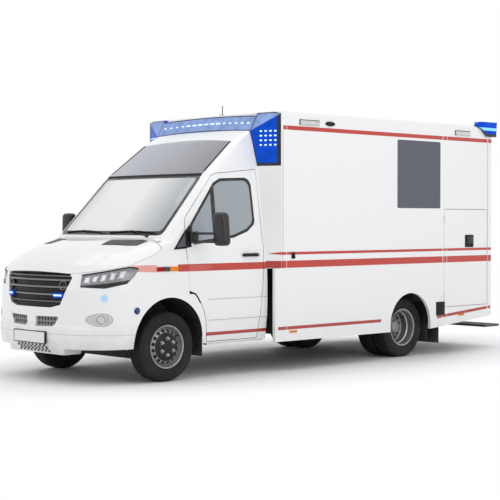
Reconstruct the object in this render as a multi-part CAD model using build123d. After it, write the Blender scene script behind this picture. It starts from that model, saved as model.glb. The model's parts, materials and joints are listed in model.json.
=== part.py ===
from build123d import *
import os
from math import cos, radians, sin

# Driving sizes in millimetres. X runs forward from the front axle, Y to the left, Z up from the road.

# Running gear
WHEELBASE = 3665
TYRE_RADIUS = 355
TYRE_WIDTH = 205
RIM_SEAT_RADIUS = 212
RIM_FLANGE_RADIUS = 221
FRONT_WHEEL_Y = 866
REAR_WHEEL_Y = 770
TWIN_SPACING = 236
KINGPIN_Y = 770
KINGPIN_RADIUS = 14
FRONT_SPINDLE_RADIUS = 32
REAR_SPINDLE_RADIUS = 50
VENT_HOLES = 16
VENT_HOLE_RADIUS = 15
VENT_HOLE_CIRCLE = 163

# Clearances
RUNNING_FIT = 0.3
FIXED_SEAM = 0.6
PANEL_GAP = 6
GLASS_FIT = 0.3

# Chassis frame
RAIL_INNER_Y = 380
RAIL_WIDTH = 70
RAIL_BOTTOM = 445
RAIL_TOP = 575
RAIL_FRONT = 760

# Cab
CAB_REAR = -1375
SIDE_WALL = 55
FRONT_WALL = 35
ROOF_WALL = 45
REAR_WALL = 45
CAB_FLOOR_TOP = 600
GLASS_SLOPE_DEPTH = 10
GLASS_THICKNESS = 7
ARCH_X = -8
ARCH_Z = 405
ARCH_RADIUS = 450
WING_TOP = 1335
DOOR_AXIS_X = -300
DOOR_AXIS_Y = 965
DOOR_NOSE_RADIUS = 51
DOOR_INNER_Y = 805
DOOR_HINGE_HEIGHTS = (1000, 1170)
HINGE_ZONE_FOOT = 880
DOOR_FOOT_RELIEF = 12
HINGE_PIN_RADIUS = 8
BONNET_AXIS_X = 60
BONNET_AXIS_Z = 1390
BONNET_HINGE_Y = 600
SCUTTLE_GAP = 34
ROOF_LINE_FRONT = (-560, 2129)
ROOF_LINE_REAR = (-1480, 2232)

# Load box
BOX_FRONT = -1480
REAR_OVERHANG = 1586
BOX_REAR = -WHEELBASE - REAR_OVERHANG
BOX_HALF_WIDTH = 1110
BOX_TOP = 2820
BOX_WALL = 40
SKIRT_FRONT = -1390
SKIRT_TOP = 1115
SKIRT_BOTTOM = 325
TAIL_BOTTOM = 432
BOX_FLOOR_TOP = 665
REAR_ARCH_RADIUS = 372
REAR_ARCH_Z = 398
REAR_FRAME_DEPTH = 60
REAR_DOOR_EDGE = BOX_HALF_WIDTH - 144
REAR_DOOR_BOTTOM = 660
REAR_DOOR_TOP = BOX_TOP - 260
REAR_PANE_INNER_Y = 230
REAR_PANE_OUTER_Y = REAR_DOOR_EDGE - 226
REAR_PANE_BOTTOM = 1500
REAR_PANE_TOP = REAR_DOOR_TOP - 210
BARREL_RADIUS = 12
BARREL_PIN_RADIUS = 6
BARREL_STAND_OFF = 12.5

# Openings in the load box's sides: front X, rear X, bottom, top
LOCKER = (-WHEELBASE - 629, BOX_REAR + 80, 574, 1775)
BOX_WINDOW = (-WHEELBASE + 254, -WHEELBASE - 555, BOX_TOP - 1041, BOX_TOP - 235)
SIDE_DOOR = (-1640, -2440, 690, BOX_TOP - 320)
SIDE_PANE_BOTTOM = 1500
SIDE_PANE_MARGIN = 170
REAR_DOOR_MIDDLE = (REAR_DOOR_BOTTOM + REAR_DOOR_TOP) / 2
REAR_HINGE_HEIGHTS = (REAR_DOOR_BOTTOM + 200, REAR_DOOR_MIDDLE - 10, REAR_DOOR_TOP - 180)
WELL_INNER_Y = 490
WELL_TOP = 830

# Roof lights
BAR_TOP = BOX_TOP - 24
BAR_TOP_EDGE = BOX_TOP - 66
BAR_FOOT = BOX_TOP - 188
BAR_FOOT_EDGE = BOX_TOP - 243
BAR_FRONT = -1331
BAR_END_Y = 778
POD_OUTER_Y = BOX_HALF_WIDTH - 5
POD_TOP = BOX_TOP - 34
POD_BOTTOM = 2225
BEACON_TOP = BOX_TOP + 52
BEACON_FOOT = BOX_TOP - 130
BEACON_STAND_OUT = 38
BEACON_INNER_Y = BOX_HALF_WIDTH - 250
FLARE_TOP_Y = 848
PANEL_FOOT_Y = 795
PANEL_TOP_Y = 735

# Cabin and outfit
GRILLE_SLATS = ((820, 14), (885, 22), (960, 22), (1030, 22), (1074, 14))
COLUMN_TILT = 40
WHEEL_CENTRE = (-520, 440, 1300)
SEAT_Y = 450
SPINDLE_REACH = 60
EXHAUST_Y = 560
EXHAUST_Z = 470
PIPE_RADIUS = 32
POST_Y = 660
LINER_INNER_Y = 560
MIRROR_X = -445
AERIAL_X = -1640
AERIAL_HEIGHT = 120
MIRROR_INNER_Y = 1210
MIRROR_OUTER_Y = 1400
MIRROR_BOTTOM = 1375
MIRROR_TOP = 1717

# Rear step
STEP_REACH = 330
STEP_HALF_WIDTH = BOX_HALF_WIDTH - 110
STEP_TOP = 300
STEP_THICKNESS = 30

# Fastening places
TOW_SOCKET_RADIUS = 11
TOW_SOCKET_LENGTH = 60
TOW_SOCKET_Y = 200
TOW_SOCKET_Z = 510
HITCH_SPACING_Y = 83
HITCH_SPACING_Z = 56
HITCH_HOLE_RADIUS = 6.5

# Cab levels in plan: height, front at the centre, corner X, corner Y, start of the side, half width.
CAB_LEVELS = (
    (360, 990, 870, 690, 430, 965),
    (450, 1008, 892, 690, 430, 982),
    (560, 1012, 895, 690, 430, 992),
    (600, 985, 872, 690, 430, 996),
    (760, 990, 866, 690, 430, 1003),
    (940, 990, 852, 690, 425, 1006),
    (1110, 967, 817, 690, 410, 1000),
    (1190, 893, 735, 690, 350, 992),
    (1250, 820, 640, 690, 250, 985),
    (1310, 720, 530, 690, 120, 976),
    (1370, 590, 340, 700, -20, 968),
    (1420, 400, 130, 740, -120, 960),
    (1458, 95, 13, 880, -170, 954),
    (2129, -572, -632, 827, -800, 872),
    (2493, -1090, -1100, 755, -1180, 800),
)
# The roof fairing carries on from the cab's two highest levels.
FAIRING_LEVELS = (*CAB_LEVELS[-2:], (BOX_TOP - 160, -1405, -1410, 735, -1440, 760))
NOSE = max(level[1] for level in CAB_LEVELS)
STEP_REAR = BOX_REAR - STEP_REACH
RAIL_REAR = BOX_REAR + REAR_FRAME_DEPTH
BODY_SEAT = BOX_FRONT + FIXED_SEAM
SHIFT = -(NOSE + STEP_REAR) / 2
CROSSMEMBERS = (-800, -1900, -WHEELBASE + 765, -WHEELBASE - 735, RAIL_REAR + 40)


def polygon(points):
    """A closed outline of straight lines."""
    return make_face(Polyline(*points, close=True))


def rounded(points, radius):
    """A closed outline with every corner rounded."""
    return make_face(FilletPolyline(*points, radius=radius, close=True))


def side_prism(face, y_from, y_to):
    """An outline drawn in X and Z, made solid from y_from to y_to."""
    plane = Plane(origin=(0, y_from, 0), x_dir=(1, 0, 0), z_dir=(0, -1, 0))
    return extrude(plane * face, amount=y_from - y_to)


def top_prism(face, z_from, z_to):
    """An outline drawn in X and Y, made solid from z_from to z_to."""
    return extrude(Plane.XY.offset(z_from) * face, amount=z_to - z_from)


def front_prism(face, x_from, x_to):
    """An outline drawn in Y and Z, made solid from x_from to x_to."""
    plane = Plane(origin=(x_from, 0, 0), x_dir=(0, 1, 0), z_dir=(1, 0, 0))
    return extrude(plane * face, amount=x_to - x_from)


def block(x, y, z):
    """A box from its lowest and highest X, Y and Z."""
    corner = (min(x), min(y), min(z))
    size = (abs(x[1] - x[0]), abs(y[1] - y[0]), abs(z[1] - z[0]))
    return Pos(*corner) * Box(*size, align=(Align.MIN, Align.MIN, Align.MIN))


def upright(x, y, radius, z_from, z_to):
    """A vertical round bar."""
    bar = Cylinder(radius, z_to - z_from, align=(Align.CENTER, Align.CENTER, Align.MIN))
    return Pos(x, y, z_from) * bar


def crossbar(x, z, radius, y_from, y_to):
    """A round bar along Y."""
    bar = Cylinder(radius, y_to - y_from, align=(Align.CENTER, Align.CENTER, Align.MIN))
    return Pos(x, y_from, z) * Rot(-90, 0, 0) * bar


def lengthwise(x, y, z, radius, length):
    """A round bar along X, from x forward."""
    bar = Cylinder(radius, length, align=(Align.CENTER, Align.CENTER, Align.MIN))
    return Pos(x, y, z) * Rot(0, 90, 0) * bar


def mirrored(solid):
    """The same piece on the other side of the vehicle."""
    return mirror(solid, about=Plane.XZ)


def pair(solid):
    """A left piece with its right twin, as solids that don't touch."""
    return Compound(children=[*solid.solids(), *mirrored(solid).solids()])


def turned(profile):
    """A closed outline of (axial, radial) points, turned about the wheel's axle line."""
    face = polygon([(radial, axial) for axial, radial in profile])
    return revolve(face, axis=Axis.Y)


def plan_section(level, rear):
    """One level of the cab in plan: bowed front, round corners, straight sides, flat back."""
    z, front, corner_x, corner_y, side_x, half = level
    edges = [
        Line((rear, -half), (side_x, -half)),
        TangentArc((side_x, -half), (corner_x, -corner_y), tangent=(1, 0)),
        ThreePointArc((corner_x, -corner_y), (front, 0), (corner_x, corner_y)),
        mirror(TangentArc((side_x, -half), (corner_x, -corner_y), tangent=(1, 0)), about=Plane.XZ),
        Line((side_x, half), (rear, half)),
        Line((rear, half), (rear, -half)),
    ]
    return Plane.XY.offset(z) * make_face(edges)


def body_loft(levels, rear, back=0, down=0, narrow=0):
    """A body through the levels, moved back and down and narrowed to make an inner surface."""
    sections = []
    for z, front, corner_x, corner_y, side_x, half in levels:
        corner_in = min(narrow, 20)
        moved = (
            z - down, front - back, corner_x - back, corner_y - corner_in, side_x - back, half - narrow,
        )
        sections.append(plan_section(moved, rear))
    return loft(sections, ruled=True)


def level_at(z, column):
    """A column of the cab's levels, read at height z."""
    for low, high in zip(CAB_LEVELS, CAB_LEVELS[1:]):
        if low[0] <= z <= high[0]:
            share = (z - low[0]) / (high[0] - low[0])
            return low[column] + share * (high[column] - low[column])


def below_roof_line(drop):
    """Everything under the slanted joint between cab and roof fairing."""
    front_x, front_z = ROOF_LINE_FRONT
    rear_x, rear_z = ROOF_LINE_REAR
    slope = (rear_z - front_z) / (rear_x - front_x)
    ahead = NOSE + 200
    behind = BOX_FRONT - 200
    face = polygon([
        (ahead, 0),
        (ahead, front_z + slope * (ahead - front_x) - drop),
        (behind, front_z + slope * (behind - front_x) - drop),
        (behind, 0),
    ])
    return side_prism(face, -BOX_HALF_WIDTH, BOX_HALF_WIDTH)


# Outlines of the cab's panels, in X and Z from the side.

def door_outline():
    """The cab door from the side: upright front, foot cut round the wheel, slanted rear."""
    lines = [
        Line((-521, 375), (-496, 583)),
        ThreePointArc((-496, 583), (-432, 762), (-348, 882)),
        Line((-348, 882), (-225, 925)),
        Line((-225, 925), (-225, 1640)),
        Line((-225, 1640), (-270, 1655)),
        Line((-270, 1655), (-665, 2085)),
        TangentArc((-665, 2085), (-790, 2134), tangent=(-395, 430)),
        Line((-790, 2134), (-1325, 2186)),
        Line((-1325, 2186), (-1345, 1315)),
        Line((-1345, 1315), (-1245, 375)),
        Line((-1245, 375), (-521, 375)),
    ]
    return make_face(lines)


def door_window_outline():
    """The door's window: slanted front post, low front corner, sill that rises to the rear."""
    points = (
        (-318, 1378), (-318, 1588), (-690, 2030), (-790, 2078),
        (-1235, 2096), (-1250, 1600), (-1130, 1515), (-930, 1452),
    )
    return rounded(points, 22)


def bonnet_outline():
    """The bonnet from the side, above the shut line that runs from the grille to the windscreen."""
    points = (
        (1100, 1160), (960, 1122), (880, 1102), (735, 1137),
        (485, 1184), (298, 1250), (164, 1287), (100, 1336),
    )
    return polygon((*points, (60, 1370), (60, 1600), (1100, 1600)))


def bonnet_rear_outline(back):
    """The bonnet in plan: all that lies ahead of a bowed rear edge."""
    arc = ThreePointArc((72 - back, -1000), (155 - back, 0), (72 - back, 1000))
    return make_face([arc, Polyline((72 - back, 1000), (1100, 1000), (1100, -1000), (72 - back, -1000))])


def bumper_outline():
    """The bumper from the side, ahead of the joint from the headlamp to the wheel arch."""
    return polygon(((1100, 250), (1100, 1300), (500, 1300), (500, 1045), (290, 745), (430, 250)))


def grille_outline(grow):
    """The grille's opening from the front."""
    points = (
        (-525, 1094), (525, 1094), (556, 1070), (430, 795),
        (300, 765), (-300, 765), (-430, 795), (-556, 1070),
    )
    return offset(rounded(points, 25), amount=grow)


def lower_grille_outline(side):
    """One of the two low openings under the grille, from the front."""
    points = ((side * 75, 674), (side * 420, 680), (side * 340, 580), (side * 75, 574))
    return rounded(points, 15)


# The headlamp's rim where it lies on the body: X, Y, Z.
HEADLAMP_RIM = (
    (860, 651, 974),
    (835, 651, 1094),
    (707, 853, 1130),
    (488, 970, 1172),
    (386, 993, 1158),
    (459, 997, 1076),
    (538, 985, 1009),
    (729, 881, 965),
)
CORNER_ANGLE = radians(46)
CORNER_VIEW = Plane(
    origin=(700, 850, 0),
    x_dir=(-sin(CORNER_ANGLE), cos(CORNER_ANGLE), 0),
    z_dir=(cos(CORNER_ANGLE), sin(CORNER_ANGLE), 0),
)
FOG_LAMP = (762, 859, 660)
FOG_LAMP_RADIUS = 60


def headlamp_prism(grow):
    """The headlamp's rim as a solid along the diagonal through the front corner."""
    rim = []
    for place in HEADLAMP_RIM:
        local = CORNER_VIEW.to_local_coords(Vector(*place))
        rim.append((local.X, local.Y))
    face = offset(rounded(rim, 12), amount=grow)
    return extrude(CORNER_VIEW * face, amount=400, both=True)


def fog_lamp_prism(radius):
    """A round fog lamp as a solid along the front corner's diagonal."""
    local = CORNER_VIEW.to_local_coords(Vector(*FOG_LAMP))
    return extrude(CORNER_VIEW * Pos(local.X, local.Y) * Circle(radius), amount=400, both=True)


def make_cab():
    """All fixed and moving panels of the cab, split where the real panels meet."""
    made = {}
    outer = body_loft(CAB_LEVELS, CAB_REAR) & below_roof_line(0)
    inner = body_loft(CAB_LEVELS, CAB_REAR + REAR_WALL, FRONT_WALL, ROOF_WALL, SIDE_WALL)
    shell = outer - (inner & below_roof_line(ROOF_WALL))
    thin = outer - body_loft(CAB_LEVELS, CAB_REAR, GLASS_SLOPE_DEPTH, 0, GLASS_THICKNESS)

    wide = 1200
    arch = side_prism(Pos(ARCH_X, ARCH_Z) * Circle(ARCH_RADIUS), 480, wide)
    arches = arch + mirrored(arch)
    under_arch = block((ARCH_X - ARCH_RADIUS, ARCH_X + ARCH_RADIUS), (480, wide), (0, ARCH_Z))
    shell = shell - arches - under_arch - mirrored(under_arch)

    left = block((-2000, 1200), (0, wide), (0, 3000))
    half = shell & left
    half_thin = thin & left

    # Doors and their glass
    door_face = door_outline()
    hinge_zone = upright(DOOR_AXIS_X, DOOR_AXIS_Y, DOOR_NOSE_RADIUS + PANEL_GAP, HINGE_ZONE_FOOT, 1670)
    ahead_of_axis = block((DOOR_AXIS_X, 0), (500, wide), (300, 1670))
    nose = upright(DOOR_AXIS_X, DOOR_AXIS_Y, DOOR_NOSE_RADIUS, 300, 1670)
    door = half & side_prism(offset(door_face, amount=-PANEL_GAP / 2), DOOR_INNER_Y, wide)
    door = door - (ahead_of_axis - nose)
    window = side_prism(door_window_outline(), 600, wide)
    door = door - window
    glass = half_thin & side_prism(offset(door_window_outline(), amount=-GLASS_FIT), 600, wide)
    door_hole = side_prism(offset(door_face, amount=PANEL_GAP / 2), DOOR_INNER_Y - PANEL_GAP, wide)
    hole_front = block((DOOR_AXIS_X, 0), (500, wide), (300, 1670))
    door_hole = (door_hole - hole_front) + (door_hole & hole_front & hinge_zone)
    foot_relief = side_prism(offset(door_face, amount=PANEL_GAP / 2 + DOOR_FOOT_RELIEF), DOOR_INNER_Y, wide)
    foot_relief = foot_relief & block((-440, DOOR_AXIS_X), (DOOR_INNER_Y, wide), (780, HINGE_ZONE_FOOT + 14))
    half = half - door_hole - hinge_zone - foot_relief

    # Hinges: fixed lugs and pins on an inner post, knuckles inside the door
    post_face = polygon((
        (-150, 1430), (-150, 930), (-345, 800), (-478, 630), (-500, 430),
        (-610, 430), (-600, 650), (-450, 850), (-360, 980), (-360, 1430),
    ))
    post = side_prism(post_face, 830, 888)
    web = block((-222, -150), (880, 925), (1345, 1430))
    sill = block((CAB_REAR + 20, -510), (830, 905), (340, CAB_FLOOR_TOP))
    sill_lip = block((CAB_REAR + 20, -540), (880, 950), (340, 368))
    fixed_side = post + web + sill + sill_lip
    for hinge_z in DOOR_HINGE_HEIGHTS:
        lug = block((DOOR_AXIS_X - 14, DOOR_AXIS_X + 14), (880, DOOR_AXIS_Y), (hinge_z - 10, hinge_z + 10))
        eye = upright(DOOR_AXIS_X, DOOR_AXIS_Y, 14, hinge_z - 10, hinge_z + 10)
        pin = upright(DOOR_AXIS_X, DOOR_AXIS_Y, HINGE_PIN_RADIUS, hinge_z - 40, hinge_z + 40)
        fixed_side = fixed_side + lug + eye + pin
        pocket = upright(DOOR_AXIS_X, DOOR_AXIS_Y, 22, hinge_z - 15, hinge_z + 15)
        throat = block(
            (DOOR_AXIS_X - 22, DOOR_AXIS_X + 80), (860, DOOR_AXIS_Y), (hinge_z - 15, hinge_z + 15),
        )
        swing_room = block(
            (DOOR_AXIS_X, DOOR_AXIS_X + 80), (DOOR_AXIS_Y, DOOR_AXIS_Y + 20), (hinge_z - 15, hinge_z + 15),
        )
        knuckles = upright(DOOR_AXIS_X, DOOR_AXIS_Y, 20, hinge_z - 50, hinge_z + 50)
        bore = upright(DOOR_AXIS_X, DOOR_AXIS_Y, HINGE_PIN_RADIUS + RUNNING_FIT, hinge_z - 41, hinge_z + 41)
        inside = half_door_inside(hinge_z)
        door = (door + (knuckles & inside)) - pocket - throat - swing_room - bore
    made["cab_door_left"] = door
    made["door_glass_left"] = glass
    made["cab_door_right"] = mirrored(door)
    made["door_glass_right"] = mirrored(glass)

    # Bonnet
    above = side_prism(bonnet_outline(), -wide, wide)
    bonnet_region = above & top_prism(bonnet_rear_outline(0), 900, 1700)
    bonnet_side = side_prism(offset(bonnet_outline(), amount=-PANEL_GAP / 2), -wide, wide)
    bonnet = shell & bonnet_side & top_prism(bonnet_rear_outline(-PANEL_GAP), 900, 1700)
    bonnet = bonnet - block((700, 1200), (-wide, wide), (800, 1102))
    half = half - bonnet_region
    arm_face = polygon((
        (48, 1378), (92, 1302), (205, 1302), (205, 1400), (170, 1400), (170, 1330), (106, 1330), (74, 1384),
    ))
    arm_y = (BONNET_HINGE_Y + 4, BONNET_HINGE_Y + 16)
    arm = side_prism(arm_face, *arm_y) + crossbar(BONNET_AXIS_X, BONNET_AXIS_Z, 16, *arm_y)
    bore_radius = HINGE_PIN_RADIUS + RUNNING_FIT
    arm = arm - crossbar(BONNET_AXIS_X, BONNET_AXIS_Z, bore_radius, arm_y[0] - 4, arm_y[1] + 4)
    made["bonnet"] = bonnet + arm + mirrored(arm)

    # Front lamps, bumper and wings
    lamp = half & headlamp_prism(-FIXED_SEAM)
    half = half - headlamp_prism(0)
    fog = half & fog_lamp_prism(FOG_LAMP_RADIUS - FIXED_SEAM)
    half = half - fog_lamp_prism(FOG_LAMP_RADIUS)
    made["front_lamps"] = pair(Compound(children=[*lamp.solids(), *fog.solids()]))

    bumper_region = side_prism(bumper_outline(), 0, wide)
    bumper = half & bumper_region
    half = half - side_prism(offset(bumper_outline(), amount=FIXED_SEAM), 0, wide)
    grille_hole = front_prism(grille_outline(0), 700, 1200)
    low_holes = front_prism(lower_grille_outline(1), 700, 1200)
    over_grille = block((700, 1200), (0, 530), (1090, 1300))
    bumper = bumper - grille_hole - low_holes - over_grille
    bumper = bumper + mirrored(bumper)
    chin_face = polygon(((960, 370), (985, 400), (860, 400), (700, 370), (720, 297), (930, 297)))
    chin = side_prism(chin_face, -470, 470) & body_loft(CAB_LEVELS[:3], 0, 20, 80, 20)
    made["front_bumper"] = bumper + chin
    return made, half, thin, outer, fixed_side


def half_door_inside(z):
    """The space inside the door's skin at a hinge."""
    half_width = min(level_at(z - 60, 5), level_at(z + 60, 5)) - 8
    return block((-500, 0), (800, half_width), (z - 60, z + 60))


def windscreen_outline(grow):
    """The windscreen from the front, wider at its foot."""
    points = ((-866, 1480), (866, 1480), (806, 2102), (-806, 2102))
    return offset(rounded(points, 45), amount=grow)


def make_cab_frame(half, thin, fixed_side):
    """What is left of the cab's shell: windscreen, scuttle, wings, side frames, roof and back wall."""
    made = {}
    wide = 1200
    screen_hole = front_prism(windscreen_outline(0), -850, 400)
    made["windscreen"] = thin & front_prism(windscreen_outline(-GLASS_FIT), -850, 400)
    half = half - screen_hole
    scuttle_zone = block((-150, 250), (-870, 870), (1330, 1482))
    hinge_pocket = block((15, 145), (BONNET_HINGE_Y - 18, BONNET_HINGE_Y + 30), (1300, 1410))
    bonnet_sweep = top_prism(bonnet_rear_outline(SCUTTLE_GAP), 1300, 1600)
    scuttle = (half & scuttle_zone) - hinge_pocket - bonnet_sweep
    half = half - scuttle_zone - (bonnet_sweep & block((0, 250), (860, 905), (1390, 1500)))
    made["scuttle"] = scuttle + mirrored(scuttle)
    wing_zone = block((-530, 1000), (600, wide), (300, WING_TOP))
    wing = half & wing_zone
    half = half - block((-530, 1000), (600, wide), (300, WING_TOP + FIXED_SEAM))
    made["front_wings"] = pair(wing)
    roof_zone = block((CAB_REAR + REAR_WALL, 300), (-DOOR_INNER_Y + 6, DOOR_INNER_Y - 6), (1482, 2500))
    roof = half & roof_zone
    made["cab_roof"] = roof + mirrored(roof)
    wall_zone = block((CAB_REAR, CAB_REAR + REAR_WALL), (-DOOR_INNER_Y + 6, DOOR_INNER_Y - 6), (300, 2500))
    wall = (half & wall_zone) - block((CAB_REAR - 1, 0), (-wide, wide), (0, RAIL_TOP))
    made["cab_back_wall"] = wall + mirrored(wall)
    made["cab_sides"] = pair((half - roof_zone - wall_zone) + fixed_side)
    return made


def make_front_grille():
    """The grille: a dark back plate with bowed slats standing ahead of it."""
    opening = front_prism(grille_outline(-FIXED_SEAM), 600, 1200)
    plate = opening & (body_loft(CAB_LEVELS[4:8], 0, 32) - body_loft(CAB_LEVELS[4:8], 0, 50))
    grille = plate
    for z, height in GRILLE_SLATS:
        front, corner_x, corner_y = level_at(z, 1), level_at(z, 2), level_at(z, 3)
        slat = make_face([
            ThreePointArc((corner_x - 8, -corner_y), (front - 8, 0), (corner_x - 8, corner_y)),
            Line((corner_x - 8, corner_y), (corner_x - 45, corner_y)),
            ThreePointArc((corner_x - 45, corner_y), (front - 45, 0), (corner_x - 45, -corner_y)),
            Line((corner_x - 45, -corner_y), (corner_x - 8, -corner_y)),
        ])
        grille = grille + (top_prism(slat, z, z + height) & opening)
    low = front_prism(lower_grille_outline(1), 600, 1200) & body_loft(CAB_LEVELS[1:6], 0, 20)
    low = low - body_loft(CAB_LEVELS[1:6], 0, 34)
    return Compound(children=[*grille.solids(), *low.solids(), *mirrored(low).solids()])


def crown_outline(centre, edge, low):
    """From the front: all between a low line and a crowned top."""
    half = BOX_HALF_WIDTH
    return make_face([
        ThreePointArc((-half, edge), (0, centre), (half, edge)),
        Polyline((half, edge), (half, low), (-half, low), (-half, edge)),
    ])


def make_roof(outer):
    """The roof fairing with its dark panel, the light bar, the corner lights and the side flares."""
    made = {}
    under_bar = front_prism(crown_outline(BAR_FOOT, BAR_FOOT_EDGE, 1900), -2000, 0)
    under_skin = front_prism(crown_outline(BAR_FOOT - 30, BAR_FOOT_EDGE - 30, 1900), -2000, 0)
    fairing_outer = (body_loft(FAIRING_LEVELS, BODY_SEAT) & under_bar) - below_roof_line(0)
    fairing_inner = body_loft(FAIRING_LEVELS, BOX_FRONT - 1, 30, 30, 30) & under_skin
    share = (POD_OUTER_Y - FLARE_TOP_Y) / (POD_OUTER_Y - BAR_END_Y)
    flare_top_x = BODY_SEAT + share * (BAR_FRONT - BODY_SEAT)
    bar_low = BAR_TOP - 196
    bar_face = polygon(((-1327, bar_low), (-1435, BAR_TOP), (BODY_SEAT, BAR_TOP), (BODY_SEAT, bar_low)))
    bar_crown = front_prism(crown_outline(BAR_TOP, BAR_TOP_EDGE, bar_low - 10), -2000, 0)
    bar = (side_prism(bar_face, -BAR_END_Y, BAR_END_Y) & bar_crown) - under_bar
    pod_plan = polygon(((BODY_SEAT, POD_OUTER_Y), (BAR_FRONT, BAR_END_Y), (BODY_SEAT, BAR_END_Y)))
    facet_corners = (
        (BODY_SEAT, POD_OUTER_Y, POD_TOP),
        (-1425, BAR_END_Y - 17, POD_TOP - 9),
        (BAR_FRONT, BAR_END_Y, POD_TOP - 179),
    )
    facet = Plane(Face(Wire(Polyline(*facet_corners, close=True).edges())))
    keep = Keep.BOTTOM if facet.z_dir.Z > 0 else Keep.TOP
    pod = split(top_prism(pod_plan, POD_BOTTOM, POD_TOP + 20), bisect_by=facet, keep=keep)
    pod = pod - fairing_outer - bar
    pods = pair(pod)
    panel_face = make_face([
        Polyline((PANEL_TOP_Y, 2486), (PANEL_FOOT_Y, 2152), (-PANEL_FOOT_Y, 2152), (-PANEL_TOP_Y, 2486)),
        ThreePointArc((-PANEL_TOP_Y, 2486), (0, 2524), (PANEL_TOP_Y, 2486)),
    ])
    skin = fairing_outer - body_loft(FAIRING_LEVELS, BOX_FRONT - 1, 14, 0, 0)
    fairing = fairing_outer - fairing_inner
    fairing = fairing - (front_prism(panel_face, -1300, -500) & skin)
    made["roof_fairing"] = fairing
    made["deflector_panel"] = skin & front_prism(offset(panel_face, amount=-GLASS_FIT), -1300, -500)
    made["light_bar"] = bar
    made["corner_lights"] = pods
    low_y = level_at(SKIRT_TOP, 5)
    low_face = polygon(((flare_top_x, low_y), (BODY_SEAT, BOX_HALF_WIDTH), (BODY_SEAT, low_y - 40)))
    high_face = polygon((
        (flare_top_x, FLARE_TOP_Y), (BODY_SEAT, POD_OUTER_Y), (BODY_SEAT, FLARE_TOP_Y - 40),
    ))
    low = Plane.XY.offset(SKIRT_TOP + FIXED_SEAM) * low_face
    high = Plane.XY.offset(POD_BOTTOM - FIXED_SEAM) * high_face
    flare = loft([low, high], ruled=True) - outer - fairing_outer
    made["side_flares"] = pair(flare)
    return made


def barrel_hinge(x, y, z, out, along):
    """A hinge with its pin: (fixed leaf with lower barrel and pin, moving leaf with upper barrel).

    The wall's face lies at (x, y), out points away from it and along points into the door.
    """
    centre = Vector(x, y, z) + Vector(*out) * BARREL_STAND_OFF

    def leaf(direction):
        low = Vector(x, y, z) - Vector(*out) * 1
        high = Vector(x, y, z) + Vector(*out) * 5 + Vector(*along) * (55 * direction)
        return low, high

    low, high = leaf(-1)
    fixed = block((low.X, high.X), (low.Y, high.Y), (z - 45, z))
    fixed = fixed + upright(centre.X, centre.Y, BARREL_RADIUS, z - 45, z)
    fixed = fixed + upright(centre.X, centre.Y, BARREL_PIN_RADIUS, z - 45, z + 45)
    low, high = leaf(1)
    moving = block((low.X, high.X), (low.Y, high.Y), (z + RUNNING_FIT, z + 45))
    moving = moving + upright(centre.X, centre.Y, BARREL_RADIUS, z + RUNNING_FIT, z + 45)
    moving = moving - upright(centre.X, centre.Y, BARREL_PIN_RADIUS + RUNNING_FIT, z, z + 46)
    return fixed, moving


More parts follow.
